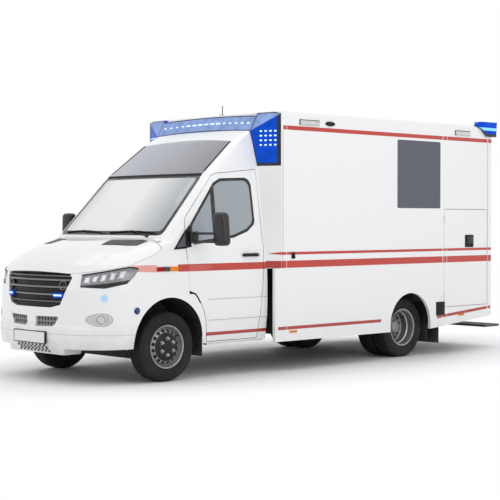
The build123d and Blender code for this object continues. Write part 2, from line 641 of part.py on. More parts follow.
def make_box():
    """The load box: walls, roof, floor and frame, with the doors hung on them."""
    made = {}
    out_y = BOX_HALF_WIDTH
    in_y = BOX_HALF_WIDTH - BOX_WALL
    roof_under = BOX_TOP - BOX_WALL
    front_in = BOX_FRONT - BOX_WALL
    rear_in = BOX_REAR + REAR_FRAME_DEPTH
    axle = -WHEELBASE

    wall_face = polygon((
        (BOX_FRONT, roof_under), (BOX_FRONT, SKIRT_TOP),
        (SKIRT_FRONT, SKIRT_TOP), (SKIRT_FRONT, SKIRT_BOTTOM),
        (axle - REAR_ARCH_RADIUS, SKIRT_BOTTOM),
        (BOX_REAR, TAIL_BOTTOM), (BOX_REAR, roof_under),
    ))
    wall = side_prism(wall_face, in_y, out_y)
    arch = Pos(axle, REAR_ARCH_Z) * Circle(REAR_ARCH_RADIUS)
    wall = wall - side_prism(arch, in_y - 1, out_y + 1)
    arch_x = (axle - REAR_ARCH_RADIUS, axle + REAR_ARCH_RADIUS)
    wall = wall - block(arch_x, (in_y - 1, out_y + 1), (0, REAR_ARCH_Z))
    right_wall = mirrored(wall)

    # Left wall: fixed window and locker door hinged at its front edge
    x_front, x_rear, z_low, z_high = BOX_WINDOW
    window_face = rounded(((x_front, z_low), (x_rear, z_low), (x_rear, z_high), (x_front, z_high)), 25)
    left_wall = wall - side_prism(window_face, in_y - 1, out_y + 1)
    made["box_window"] = side_prism(offset(window_face, amount=-GLASS_FIT), out_y - 12, out_y)
    x_front, x_rear, z_low, z_high = LOCKER
    locker_face = rounded(((x_front, z_low), (x_rear, z_low), (x_rear, z_high), (x_front, z_high)), 20)
    left_wall = left_wall - side_prism(locker_face, in_y - 1, out_y + 1)
    locker = side_prism(offset(locker_face, amount=-PANEL_GAP), in_y, out_y)
    for z in (z_low + 130, z_high - 130):
        fixed, moving = barrel_hinge(x_front - PANEL_GAP / 2, out_y, z, (0, 1, 0), (-1, 0, 0))
        left_wall = left_wall + fixed
        locker = locker + moving
    made["box_wall_left"] = left_wall
    made["locker_door"] = locker

    # Right wall: entrance door with a window, hinged at its front edge
    x_front, x_rear, z_low, z_high = SIDE_DOOR
    door_face = rounded(((x_front, z_low), (x_rear, z_low), (x_rear, z_high), (x_front, z_high)), 30)
    right_wall = right_wall - side_prism(door_face, -out_y - 1, -in_y + 1)
    door = side_prism(offset(door_face, amount=-PANEL_GAP), -out_y, -in_y)
    pane_front = x_front - SIDE_PANE_MARGIN
    pane_rear = x_rear + SIDE_PANE_MARGIN
    pane_top = z_high - 150
    glass_face = rounded((
        (pane_front, SIDE_PANE_BOTTOM), (pane_rear, SIDE_PANE_BOTTOM),
        (pane_rear, pane_top), (pane_front, pane_top),
    ), 30)
    door = door - side_prism(glass_face, -out_y - 1, -in_y + 1)
    made["side_door_glass"] = side_prism(offset(glass_face, amount=-GLASS_FIT), -out_y, -out_y + 12)
    for z in (z_low + 200, z_high - 200):
        fixed, moving = barrel_hinge(x_front - PANEL_GAP / 2, -out_y, z, (0, -1, 0), (-1, 0, 0))
        right_wall = right_wall + fixed
        door = door + moving
    made["box_wall_right"] = right_wall
    made["side_door"] = door

    # Front wall, roof and floor
    made["box_front_wall"] = block((front_in, BOX_FRONT), (-in_y, in_y), (BOX_FLOOR_TOP - 65, roof_under))
    roof = block((BOX_REAR, BOX_FRONT), (-out_y, out_y), (roof_under, BOX_TOP))
    roof = fillet(roof.edges().group_by(Axis.Z)[-1], 25)
    aerial_foot = upright(AERIAL_X, 0, 35, BOX_TOP - 2, BOX_TOP + 18)
    aerial_rod = upright(AERIAL_X, 0, 4, BOX_TOP, BOX_TOP + AERIAL_HEIGHT)
    made["box_roof"] = roof + aerial_foot + aerial_rod
    floor = block((rear_in, front_in), (-in_y, in_y), (BOX_FLOOR_TOP - 25, BOX_FLOOR_TOP))
    rail_y = (RAIL_INNER_Y, RAIL_INNER_Y + RAIL_WIDTH)
    runner = block((rear_in, front_in), rail_y, (RAIL_TOP, BOX_FLOOR_TOP - 25))
    floor = floor + runner + mirrored(runner)
    well = block((axle - 420, axle + 420), (WELL_INNER_Y, in_y), (BOX_FLOOR_TOP - 25, WELL_TOP))
    hollow = block((axle - 395, axle + 395), (WELL_INNER_Y + 25, in_y + 1), (500, WELL_TOP - 25))
    floor = floor + well + mirrored(well) - hollow - mirrored(hollow)
    made["box_floor"] = floor

    # Rear frame and the two rear doors
    frame = block((BOX_REAR, rear_in), (-in_y, in_y), (TAIL_BOTTOM, roof_under))
    through = (BOX_REAR - 1, rear_in + 1)
    gate = block(through, (-REAR_DOOR_EDGE, REAR_DOOR_EDGE), (REAR_DOOR_BOTTOM, REAR_DOOR_TOP))
    notch_y = RAIL_INNER_Y + RAIL_WIDTH + 20
    chassis_notch = block(through, (-notch_y, notch_y), (0, RAIL_TOP + PANEL_GAP))
    frame = frame - gate - chassis_notch
    leaf = block(
        (BOX_REAR, BOX_REAR + BOX_WALL),
        (PANEL_GAP / 2, REAR_DOOR_EDGE - PANEL_GAP),
        (REAR_DOOR_BOTTOM + PANEL_GAP, REAR_DOOR_TOP - PANEL_GAP),
    )
    pane_face = rounded((
        (REAR_PANE_INNER_Y, REAR_PANE_BOTTOM), (REAR_PANE_OUTER_Y, REAR_PANE_BOTTOM),
        (REAR_PANE_OUTER_Y, REAR_PANE_TOP), (REAR_PANE_INNER_Y, REAR_PANE_TOP),
    ), 40)
    leaf = leaf - front_prism(pane_face, BOX_REAR - 1, BOX_REAR + BOX_WALL + 1)
    pane = front_prism(offset(pane_face, amount=-GLASS_FIT), BOX_REAR, BOX_REAR + 12)
    for z in REAR_HINGE_HEIGHTS:
        fixed, moving = barrel_hinge(BOX_REAR, REAR_DOOR_EDGE - PANEL_GAP / 2, z, (-1, 0, 0), (0, -1, 0))
        frame = frame + fixed + mirrored(fixed)
        leaf = leaf + moving
    made["box_rear_frame"] = frame
    made["rear_door_left"] = leaf
    made["rear_glass_left"] = pane
    made["rear_door_right"] = mirrored(leaf)
    made["rear_glass_right"] = mirrored(pane)
    lamp = block((BOX_REAR - 35, BOX_REAR), (out_y - 120, out_y - 50), (900, 1260))
    made["rear_lamps"] = pair(lamp)

    # Blue corner lights on the rear top corners, seen from above and cut by a slanted side
    tail_x = BOX_REAR - 64
    tip_x = BOX_REAR + 361
    stand_y = out_y + BEACON_STAND_OUT
    beacon_plan = polygon((
        (tip_x, out_y), (tip_x - 170, stand_y), (tail_x, stand_y),
        (tail_x, BEACON_INNER_Y), (BOX_REAR, BEACON_INNER_Y), (BOX_REAR, out_y),
    ))
    beacon_side = polygon((
        (tip_x + 10, BEACON_TOP - 42), (tip_x - 100, BEACON_TOP), (tail_x - 1, BEACON_TOP),
        (tail_x + 15, BEACON_FOOT), (tail_x + 185, BEACON_FOOT), (tail_x + 295, BEACON_FOOT + 90),
    ))
    slant = side_prism(beacon_side, BEACON_INNER_Y - 60, stand_y + 50)
    cap_plan = polygon((
        (tip_x, out_y), (BOX_REAR, out_y), (BOX_REAR, BEACON_INNER_Y), (tip_x - 210, BEACON_INNER_Y + 100),
    ))
    beacon = top_prism(beacon_plan, BEACON_FOOT, BEACON_TOP) & slant
    cap = top_prism(cap_plan, BOX_TOP, BEACON_TOP) & slant
    made["rear_beacons"] = pair(beacon + cap)
    return made


def make_chassis():
    """Rails, crossmembers, springs, axles, engine and tank under the body."""
    made = {}
    rail_y = (RAIL_INNER_Y, RAIL_INNER_Y + RAIL_WIDTH)
    made["frame_rails"] = pair(block((RAIL_REAR, RAIL_FRONT), rail_y, (RAIL_BOTTOM, RAIL_TOP)))
    members = []
    member_z = (RAIL_BOTTOM + 15, RAIL_TOP - 15)
    for x in CROSSMEMBERS:
        members.append(block((x - 40, x + 40), (-RAIL_INNER_Y, RAIL_INNER_Y), member_z))
    hitch = members[-1]
    for y in (-HITCH_SPACING_Y / 2, HITCH_SPACING_Y / 2):
        for z in (-HITCH_SPACING_Z / 2, HITCH_SPACING_Z / 2):
            centre = (RAIL_BOTTOM + RAIL_TOP) / 2 + z
            hitch = hitch - lengthwise(CROSSMEMBERS[-1] - 60, y, centre, HITCH_HOLE_RADIUS, 150)
    socket = lengthwise(RAIL_REAR - 1, TOW_SOCKET_Y, TOW_SOCKET_Z, TOW_SOCKET_RADIUS, TOW_SOCKET_LENGTH + 1)
    members[-1] = hitch - socket
    made["crossmembers"] = Compound(children=[solid for member in members for solid in member.solids()])
    made["front_beam"] = block((RAIL_FRONT, RAIL_FRONT + 90), (-620, 620), (RAIL_BOTTOM, RAIL_TOP - 20))

    # Front suspension: crossmember, arms and posts that hold the kingpins
    arm_low = (205, 235)
    arm_high = (475, 505)
    drop = block((-50, 50), rail_y, (200, RAIL_BOTTOM))
    carrier = block((-50, 50), (-450, 450), (200, 270)) + drop + mirrored(drop)
    post = upright(0, POST_Y, 35, 205, 820)
    arms = post
    for low, high in (arm_low, arm_high):
        inner_y = 400 if low == arm_low[0] else POST_Y
        arm = block((-28, 28), (inner_y, KINGPIN_Y), (low, high)) + upright(0, KINGPIN_Y, 28, low, high)
        arms = arms + arm
        arms = arms - upright(0, KINGPIN_Y, KINGPIN_RADIUS + RUNNING_FIT, low - 1, high + 1)
    made["front_suspension"] = carrier + arms + mirrored(arms)

    # Steering knuckle with spindle and kingpins
    knuckle = block((-35, 35), (KINGPIN_Y - 30, KINGPIN_Y + 30), (arm_low[1] + 5, arm_high[0] - 5))
    knuckle = knuckle + upright(0, KINGPIN_Y, KINGPIN_RADIUS, arm_low[0], arm_high[1])
    collar_z = (arm_low[1] + RUNNING_FIT, arm_high[0] - RUNNING_FIT)
    knuckle = knuckle + upright(0, KINGPIN_Y, KINGPIN_RADIUS + 8, *collar_z)
    spindle_y = (KINGPIN_Y, FRONT_WHEEL_Y + SPINDLE_REACH)
    knuckle = knuckle + crossbar(0, TYRE_RADIUS, FRONT_SPINDLE_RADIUS, *spindle_y)
    made["knuckle_left"] = knuckle
    made["knuckle_right"] = mirrored(knuckle)

    # Rear axle and springs
    axle = crossbar(-WHEELBASE, TYRE_RADIUS, 55, -540, 540)
    spindle_end = REAR_WHEEL_Y + SPINDLE_REACH
    axle = axle + crossbar(-WHEELBASE, TYRE_RADIUS, REAR_SPINDLE_RADIUS, -spindle_end, spindle_end)
    axle = axle + crossbar(-WHEELBASE, TYRE_RADIUS, 140, -90, 90)
    spring_face = polygon((
        (600, RAIL_BOTTOM), (-600, RAIL_BOTTOM), (-600, RAIL_BOTTOM - 16),
        (-70, TYRE_RADIUS + 40), (70, TYRE_RADIUS + 40), (600, RAIL_BOTTOM - 16),
    ))
    spring = Pos(-WHEELBASE, 0, 0) * side_prism(spring_face, *rail_y)
    made["rear_axle"] = axle + spring + mirrored(spring)

    # Engine with its gearbox and shaft, exhaust and tank
    engine = block((60, 690), (-290, 290), (330, 1000))
    foot = block((320, 420), (280, RAIL_INNER_Y), (RAIL_BOTTOM + 40, RAIL_TOP - 20))
    engine = engine + foot + mirrored(foot)
    engine = engine + block((-700, 80), (-140, 140), (340, 560))
    shaft_length = WHEELBASE - 140 - 690
    shaft = lengthwise(-690 - shaft_length, 0, TYRE_RADIUS + 60, 38, shaft_length)
    muffler_x = -WHEELBASE + 965
    muffler = lengthwise(muffler_x, EXHAUST_Y, EXHAUST_Z, 90, 800)
    pipe = lengthwise(muffler_x + 790, EXHAUST_Y, EXHAUST_Z, PIPE_RADIUS, -510 - muffler_x - 790)
    elbow = crossbar(-520, 400, PIPE_RADIUS, 0, EXHAUST_Y + PIPE_RADIUS)
    elbow = elbow + upright(-520, EXHAUST_Y, PIPE_RADIUS, 400, EXHAUST_Z + PIPE_RADIUS)
    hanger = block((muffler_x + 300, muffler_x + 360), (rail_y[1], EXHAUST_Y - 40), (480, 520))
    made["engine_and_exhaust"] = engine + shaft + muffler + pipe + elbow + hanger
    made["fuel_tank"] = block((-WHEELBASE + 765, -1900), (-900, -rail_y[1]), (370, 560))
    return made


def make_wheels():
    """Tyres and rims: single at the front, twins on one hub at the rear."""
    made = {}
    half = TYRE_WIDTH / 2
    seat = RIM_SEAT_RADIUS
    tyre_profile = (
        (-78, seat), (78, seat), (80, seat + 14),
        (half - 4, seat + 45), (half, seat + 73), (half - 4, seat + 105),
        (half - 13, TYRE_RADIUS - 14), (half - 30, TYRE_RADIUS - 2), (0, TYRE_RADIUS),
        (-half + 30, TYRE_RADIUS - 2), (-half + 13, TYRE_RADIUS - 14),
        (-half + 4, seat + 105), (-half, seat + 73), (-half + 4, seat + 45), (-80, seat + 14),
    )
    tyre = turned(tyre_profile)
    bore = FRONT_SPINDLE_RADIUS + RUNNING_FIT
    lip = RIM_FLANGE_RADIUS
    barrel = seat - RUNNING_FIT
    front_profile = (
        (-92, lip), (-83, lip), (-81, barrel), (81, barrel), (83, lip), (92, lip),
        (88, 208), (62, 200), (42, 190), (50, 180), (72, 150), (82, 122), (86, 112), (92, 98), (96, 0),
        (SPINDLE_REACH + 1, 0), (SPINDLE_REACH + 1, bore),
        (5, bore), (5, 60), (52, 70), (62, 112), (56, 140), (32, 176), (26, 190), (22, 202), (-84, 203),
    )
    rim = turned(front_profile)
    rear_bore = REAR_SPINDLE_RADIUS + RUNNING_FIT
    off = TWIN_SPACING / 2
    twin_profile = (
        (-off - 92, lip), (-off - 83, lip), (-off - 81, barrel), (-off + 81, barrel), (-off + 83, lip),
        (-20, lip), (-20, 208), (20, 208), (20, lip),
        (off - 83, lip), (off - 81, barrel), (off + 81, barrel), (off + 83, lip), (off + 92, lip),
        (off + 88, 206), (off + 60, 200), (30, 196), (16, 182), (16, 120), (24, 108), (24, 82),
        (SPINDLE_REACH + 30, 74), (SPINDLE_REACH + 40, 60), (SPINDLE_REACH + 40, 0), (SPINDLE_REACH + 1, 0),
        (SPINDLE_REACH + 1, rear_bore), (-40, rear_bore), (-40, 75),
        (-14, 90), (-14, 182), (-30, 196), (-off - 84, 203),
    )
    twin = turned(twin_profile)
    for turn in range(VENT_HOLES):
        angle = radians(360 * (turn + 0.5) / VENT_HOLES)
        x = VENT_HOLE_CIRCLE * cos(angle)
        z = VENT_HOLE_CIRCLE * sin(angle)
        rim = rim - crossbar(x, z, VENT_HOLE_RADIUS, 10, 100)
        twin = twin - crossbar(x, z, VENT_HOLE_RADIUS + 3, -30, 40)
    front = Pos(0, FRONT_WHEEL_Y, TYRE_RADIUS)
    rear = Pos(-WHEELBASE, REAR_WHEEL_Y, TYRE_RADIUS)
    made["tyre_front_left"] = front * tyre
    made["rim_front_left"] = front * rim
    twins = Compound(children=[rear * Pos(0, off, 0) * tyre, rear * Pos(0, -off, 0) * tyre])
    made["tyres_rear_left"] = twins
    made["rims_rear_left"] = rear * twin
    for name in ("tyre_front", "rim_front", "tyres_rear", "rims_rear"):
        left = made[name + "_left"]
        made[name + "_right"] = Compound(children=mirrored(left).solids())
    return made


def make_cabin():
    """Floor, dashboard, seats and steering wheel inside the cab."""
    made = {}
    floor_rear = CAB_REAR + REAR_WALL
    under = (
        (floor_rear, RAIL_TOP), (-455, RAIL_TOP), (-275, 800), (-100, 890), (-35, 890), (-35, 1380),
        (-60, 1380), (-60, 915), (-106, 915), (-292, 820), (-468, CAB_FLOOR_TOP), (floor_rear, CAB_FLOOR_TOP),
    )
    bracket_face = polygon(((-40, 1250), (-40, 1372), (52, 1403), (68, 1402), (76, 1388), (66, 1376)))
    bracket = side_prism(bracket_face, BONNET_HINGE_Y - 9, BONNET_HINGE_Y + 3)
    pin = crossbar(BONNET_AXIS_X, BONNET_AXIS_Z, HINGE_PIN_RADIUS, BONNET_HINGE_Y - 9, BONNET_HINGE_Y + 19)
    bracket = bracket + pin
    made["cab_floor"] = side_prism(polygon(under), -830, 830) + bracket + mirrored(bracket)
    dash_face = polygon(((-60, 1392), (-60, 1010), (-240, 980), (-390, 1090), (-420, 1270), (-330, 1385)))
    dash = side_prism(dash_face, -828, 828)
    axis = Vector(-cos(radians(COLUMN_TILT)), 0, sin(radians(COLUMN_TILT)))
    hub = Vector(*WHEEL_CENTRE)
    column_plane = Plane(origin=hub, x_dir=(0, 1, 0), z_dir=axis)
    column = extrude(column_plane.offset(-22) * Circle(26), amount=-150)
    pin = extrude(column_plane.offset(-30) * Circle(12), amount=40)
    made["dashboard"] = dash + column + pin
    ring = column_plane * Torus(190, 15)
    boss = extrude(column_plane.offset(-20) * Circle(55), amount=42)
    boss = boss - extrude(column_plane.offset(-21) * Circle(12 + RUNNING_FIT), amount=32)
    spokes = column_plane * (Box(366, 26, 14) + Pos(0, -92, 0) * Box(26, 180, 14))
    spokes = spokes - extrude(column_plane.offset(-21) * Circle(40), amount=42)
    made["steering_wheel"] = ring + spokes + boss
    seat_face = polygon((
        (-560, 1000), (-580, 890), (-660, 880), (-660, CAB_FLOOR_TOP), (-1060, CAB_FLOOR_TOP), (-1060, 880),
        (-1120, 900), (-1270, 1620), (-1150, 1640), (-1020, 1010),
    ))
    seat = side_prism(seat_face, SEAT_Y - 240, SEAT_Y + 240)
    rest_face = rounded(((-1285, 1650), (-1165, 1650), (-1185, 1840), (-1285, 1840)), 30)
    rest = side_prism(rest_face, SEAT_Y - 130, SEAT_Y + 130)
    stalks = block((-1240, -1215), (SEAT_Y - 60, SEAT_Y + 60), (1600, 1700))
    made["seats"] = pair(seat + stalks + rest)
    return made


def make_outfit():
    """Mirrors, wheel liners, flaps and the rear step."""
    made = {}
    foot_y = level_at(1450, 5)
    foot = block((-395, -290), (foot_y - 40, foot_y + 45), (1400, 1520))
    foot = foot - body_loft(CAB_LEVELS, CAB_REAR, 0, 0, -RUNNING_FIT)
    head_face = rounded((
        (MIRROR_X - 45, MIRROR_BOTTOM), (MIRROR_X + 55, MIRROR_BOTTOM),
        (MIRROR_X + 75, MIRROR_TOP), (MIRROR_X - 45, MIRROR_TOP),
    ), 25)
    head = side_prism(head_face, MIRROR_INNER_Y, MIRROR_OUTER_Y)
    mirror_arms = foot + head
    for z in (1415, 1500):
        start = Vector(-340, foot_y + 30, z)
        end = Vector(MIRROR_X + 15, MIRROR_INNER_Y + 20, z)
        along = end - start
        arm = extrude(Plane(origin=start, z_dir=along) * Circle(11), amount=along.length)
        mirror_arms = mirror_arms + arm
    made["mirror_left"] = mirror_arms
    made["mirror_right"] = mirrored(mirror_arms)

    ring = Circle(ARCH_RADIUS - FIXED_SEAM) - Circle(ARCH_RADIUS - 10)
    ring = ring & Pos(0, ARCH_RADIUS / 2) * Rectangle(2 * ARCH_RADIUS, ARCH_RADIUS)
    liner = side_prism(Pos(ARCH_X, ARCH_Z) * ring, LINER_INNER_Y, 940)
    flap_x = ARCH_X - ARCH_RADIUS
    flap = block((flap_x + 8, flap_x + 20), (LINER_INNER_Y + 160, 985), (234, 440))
    front_liner = liner + flap
    flap_y = (545, BOX_HALF_WIDTH - 110)
    rear_flap = block((-WHEELBASE - 440, -WHEELBASE - 428), flap_y, (190, BOX_FLOOR_TOP - 25))
    made["wheel_liners"] = pair(Compound(children=[*front_liner.solids(), *rear_flap.solids()]))

    step_foot = STEP_TOP - STEP_THICKNESS
    step = block((STEP_REAR, BOX_REAR - 25), (-STEP_HALF_WIDTH, STEP_HALF_WIDTH), (step_foot, STEP_TOP))
    bracket_face = polygon((
        (RAIL_REAR + 250, RAIL_BOTTOM), (RAIL_REAR, RAIL_BOTTOM), (BOX_REAR - 60, STEP_TOP),
        (STEP_REAR + 60, STEP_TOP), (STEP_REAR + 60, step_foot), (BOX_REAR, step_foot),
    ))
    bracket = side_prism(bracket_face, RAIL_INNER_Y, RAIL_INNER_Y + RAIL_WIDTH)
    made["rear_step"] = step + bracket + mirrored(bracket)
    return made


NODES = {}
cab, half, thin, outer, fixed_side = make_cab()
NODES.update(cab)
NODES.update(make_cab_frame(half, thin, fixed_side))
NODES["front_grille"] = make_front_grille()
NODES.update(make_roof(outer))
NODES.update(make_box())
NODES.update(make_chassis())
NODES.update(make_wheels())
NODES.update(make_cabin())
NODES.update(make_outfit())
os.makedirs("parts", exist_ok=True)
for name, shape in NODES.items():
    solids = [Pos(SHIFT, 0, 0) * solid for solid in shape.solids()]
    export_step(Compound(solids), f"parts/{name}.step")
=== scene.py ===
import json
import math

import bmesh
import bpy
from bpy.props import FloatProperty, FloatVectorProperty, IntProperty, PointerProperty
from bpy.types import Operator, Panel, PropertyGroup
from mathutils import Matrix, Vector
from mathutils.bvhtree import BVHTree


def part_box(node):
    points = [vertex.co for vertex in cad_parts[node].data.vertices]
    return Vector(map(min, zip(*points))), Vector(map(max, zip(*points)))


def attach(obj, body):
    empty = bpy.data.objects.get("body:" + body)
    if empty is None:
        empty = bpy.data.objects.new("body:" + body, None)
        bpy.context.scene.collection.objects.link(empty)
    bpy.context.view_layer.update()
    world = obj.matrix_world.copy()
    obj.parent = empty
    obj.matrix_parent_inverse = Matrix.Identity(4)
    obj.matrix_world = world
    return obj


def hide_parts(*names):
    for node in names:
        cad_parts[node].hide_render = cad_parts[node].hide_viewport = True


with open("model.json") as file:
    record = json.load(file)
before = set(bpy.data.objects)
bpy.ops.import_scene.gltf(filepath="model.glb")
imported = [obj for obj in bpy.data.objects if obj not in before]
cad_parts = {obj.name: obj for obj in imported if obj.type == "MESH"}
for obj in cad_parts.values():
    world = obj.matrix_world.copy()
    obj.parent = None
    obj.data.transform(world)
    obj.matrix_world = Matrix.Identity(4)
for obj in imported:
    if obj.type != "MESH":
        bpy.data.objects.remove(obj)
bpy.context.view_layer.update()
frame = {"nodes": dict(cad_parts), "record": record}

bl_info = {
    "name": "Ambulance finishes",
    "version": (1, 0, 0),
    "blender": (4, 5, 0),
    "location": "View3D > Sidebar > Ambulance",
    "description": "Paint, glass, lights and fittings for a box-bodied ambulance on its CAD frame",
    "category": "Add Mesh",
}

NODES = frame["nodes"]
BODIES = frame["record"]["behaviour"]["bodies"]
BODY_OF = {node: body for body, nodes in BODIES.items() for node in nodes}
ROOT = "van_body"
TYRE_LOW, TYRE_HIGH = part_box("tyre_front_left")
AXLE_X = (TYRE_LOW.x + TYRE_HIGH.x) / 2
SIDES = (("left", 1), ("right", -1))
# The way out of the left front corner, where the head lamp and the fog lamp are
CORNER_ANGLE = math.radians(46)
DIAGONAL = Vector((math.cos(CORNER_ANGLE), math.sin(CORNER_ANGLE), 0))
# How close two points are that count as one, in metres
WELD = 2e-5


def at(x, y, z):
    """A place given in millimetres from the front axle, on the road, as a point of the frame."""
    return Vector((x / 1000 + AXLE_X, y / 1000, z / 1000))


# Settings

def colour_setting(name, description, default):
    return FloatVectorProperty(
        name=name, description=description, default=default, size=3, min=0, max=1, subtype="COLOR",
    )


def length_setting(name, description, default):
    return FloatProperty(name=name, description=description, default=default, min=0, unit="LENGTH")


def count_setting(name, description, default, least):
    return IntProperty(name=name, description=description, default=default, min=least)


class AmbulanceColours(PropertyGroup):
    """Colours of the paint, the stripes and the lights."""
    paint: colour_setting("Paint", "White body paint", (0.87, 0.875, 0.89))
    stripe: colour_setting("Stripe", "Red stripes along the sides", (0.50, 0.022, 0.009))
    # The low stripe colour is the red of the stripes darkened as painted shade, for the low stripes and the
    # flares
    stripe_in_shade: colour_setting("Low stripe", "Darker red of the sill stripes", (0.40, 0.016, 0.010))
    blue: colour_setting("Blue lens", "Deep blue of the corner lights", (0.001, 0.068, 0.58))
    bar_blue: colour_setting("Light bar", "Paler blue of the light bar", (0.24, 0.34, 0.64))
    amber: colour_setting("Amber", "Side markers and turn lamps", (0.85, 0.26, 0.02))
    steel: colour_setting("Wheel steel", "Silver paint of the wheels", (0.26, 0.265, 0.28))
    panel: colour_setting("Deflector", "Grey film on the roof panel", (0.205, 0.21, 0.24))


class AmbulanceSizes(PropertyGroup):
    """Sizes of the fittings that are added to the frame."""
    film: length_setting("Stripe film", "How far a stripe stands off its panel", 0.0009)
    rubber: length_setting("Glass border", "Width of the black border on the door glass", 0.030)
    tread: length_setting("Tread depth", "Depth of the tyres' grooves", 0.008)
    tread_pitches: count_setting("Tread pitches", "Shoulder blocks round one tyre", 66, 12)
    wheel_nuts: count_setting("Wheel nuts", "Nuts on one wheel", 6, 3)
    bar_dashes: count_setting("Light bar dashes", "Bright dashes along the light bar", 15, 3)
    lens_mm: FloatProperty(
        name="Lens", description="Focal length of the camera in millimetres", default=97.33, min=10,
    )


# Mesh helpers

def piece(name, bm, body, finish, sharp=40):
    """Turns a bmesh into an object that rides on a body and has a finish."""
    mesh = bpy.data.meshes.new(name)
    bmesh.ops.recalc_face_normals(bm, faces=bm.faces)
    bm.to_mesh(mesh)
    bm.free()
    return seat_mesh(name, mesh, body, finish, sharp)


def seat_mesh(name, mesh, body, finish, sharp=40):
    """Links a mesh as a piece that rides on a body and has a finish."""
    mesh.shade_smooth()
    mesh.set_sharp_from_angle(angle=math.radians(sharp))
    obj = bpy.data.objects.new(name, mesh)
    bpy.context.collection.objects.link(obj)
    mesh.materials.append(bpy.data.materials[finish])
    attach(obj, body)
    return obj


def once(items):
    """The items in order, each one once."""
    return list(dict.fromkeys(items))


def add_box(bm, low, high, bevel=0.0, segments=3, matrix=None):
    """Adds a box between two corners, with its edges rounded."""
    low, high = Vector(low), Vector(high)
    made = bmesh.ops.create_cube(bm, size=1)["verts"]
    for vert in made:
        vert.co = Vector([(a + b) / 2 + c * (b - a) for a, b, c in zip(low, high, vert.co)])
    if bevel:
        edges = once(edge for vert in made for edge in vert.link_edges)
        ring = bmesh.ops.bevel(bm, geom=edges, offset=bevel, segments=segments, affect="EDGES", profile=0.6)
        rounded_verts = [vert for face in ring["faces"] for vert in face.verts]
        made = once(rounded_verts + [vert for vert in made if vert.is_valid])
    if matrix is not None:
        bmesh.ops.transform(bm, matrix=matrix, verts=made)
    return made


def add_rod(bm, start, end, radius, sides=12, radius_end=None):
    """Adds a round rod between two points."""
    start, end = Vector(start), Vector(end)
    along = end - start
    turn = along.to_track_quat("Z", "Y").to_matrix().to_4x4()
    place = Matrix.Translation((start + end) / 2) @ turn
    bmesh.ops.create_cone(
        bm, cap_ends=True, segments=sides, radius1=radius,
        radius2=radius if radius_end is None else radius_end, depth=along.length, matrix=place,
    )


def add_lathe(bm, profile, place, steps=48, radius_of=None):
    """Turns (axial, radial) points about the local Z of a matrix.

    radius_of(row, step, radial), if given, says the radius of a point at one step of the turn.
    """
    rings = []
    for step in range(steps):
        angle = 2 * math.pi * step / steps
        ring = []
        for row, (axial, radial) in enumerate(profile):
            r = radial if radius_of is None else radius_of(row, step, radial)
            ring.append(bm.verts.new(place @ Vector((r * math.cos(angle), r * math.sin(angle), axial))))
        rings.append(ring)
    for step in range(steps):
        ring, after = rings[step], rings[(step + 1) % steps]
        for row in range(len(profile) - 1):
            bm.faces.new((ring[row], after[row], after[row + 1], ring[row + 1]))
    bmesh.ops.remove_doubles(bm, verts=[v for ring in rings for v in ring], dist=1e-6)


def facing(point, normal, up=(0, 0, 1)):
    """A matrix at a point with local Z along the normal and local Y near up."""
    z = Vector(normal).normalized()
    x = Vector(up).cross(z).normalized()
    y = z.cross(x)
    turn = Matrix((x, y, z)).transposed().to_4x4()
    return Matrix.Translation(point) @ turn


TREES = {}
# Where rays towards the front, the back and the sides start, in mm
AHEAD, BEHIND, BESIDE = 3000, -9000, 3000


def hit(node, origin, direction):
    """Where a ray first meets a CAD node: (point, normal)."""
    if node not in TREES:
        mesh = NODES[node].data
        points = [vert.co.copy() for vert in mesh.vertices]
        TREES[node] = BVHTree.FromPolygons(points, [tuple(face.vertices) for face in mesh.polygons])
    point, normal, _, _ = TREES[node].ray_cast(Vector(origin), Vector(direction).normalized())
    if point is None:
        raise RuntimeError(f"no surface of {node} at {tuple(origin)}")
    if normal.dot(Vector(direction)) > 0:
        normal = -normal
    return point, normal


def on_side(node, x, z, side):
    """A place on the outside of a side panel, seat matrix with local Z outward."""
    point, normal = hit(node, at(x, side * BESIDE, z), (0, -side, 0))
    return facing(point, normal)


def on_front(node, y, z):
    """A place on a front panel."""
    point, normal = hit(node, at(AHEAD, y, z), (-1, 0, 0))
    return facing(point, normal)


def on_rear(node, y, z):
    """A place on a rear panel."""
    point, normal = hit(node, at(BEHIND, y, z), (1, 0, 0))
    return facing(point, normal)


def corner_axes(side):
    """The way out of a front corner, and the way along it."""
    return Vector((DIAGONAL.x, side * DIAGONAL.y, 0)), Vector((DIAGONAL.y, -side * DIAGONAL.x, 0))


def on_corner(node, x, y, z, side):
    """A place on a front corner, met along the diagonal."""
    out, _ = corner_axes(side)
    point, normal = hit(node, at(x, side * y, z) + out * 1.5, -out)
    return facing(point, normal)


def skin(bm, node, planes, keep, lift, rim=0.0):
    """Adds a copy of a panel's own surface, split at planes and kept where keep(centre, normal) says so.

    The copy stands off the panel by lift. With rim, its edges reach back by that much.
    """
    part = bmesh.new()
    part.from_mesh(NODES[node].data)
    bmesh.ops.remove_doubles(part, verts=part.verts, dist=WELD)
    part.normal_update()
    for point, normal in planes:
        everything = part.verts[:] + part.edges[:] + part.faces[:]
        bmesh.ops.bisect_plane(part, geom=everything, dist=1e-7, plane_co=point, plane_no=normal)
    lost = [face for face in part.faces if not keep(face.calc_center_median(), face.normal)]
    bmesh.ops.delete(part, geom=lost, context="FACES")
    part.normal_update()
    normals = {vert: vert.normal.copy() for vert in part.verts}
    for vert, normal in normals.items():
        vert.co += normal * lift
    if rim:
        edges = [edge for edge in part.edges if edge.is_boundary]
        grown = bmesh.ops.extrude_edge_only(part, edges=edges)["geom"]
        for vert in (item for item in grown if isinstance(item, bmesh.types.BMVert)):
            near = min((e.other_vert(vert) for e in vert.link_edges), key=lambda v: (v.co - vert.co).length)
            vert.co -= normals.get(near, Vector()) * rim
    made = bpy.data.meshes.new("part")
    part.to_mesh(made)
    part.free()
    bm.from_mesh(made)
    bpy.data.meshes.remove(made)


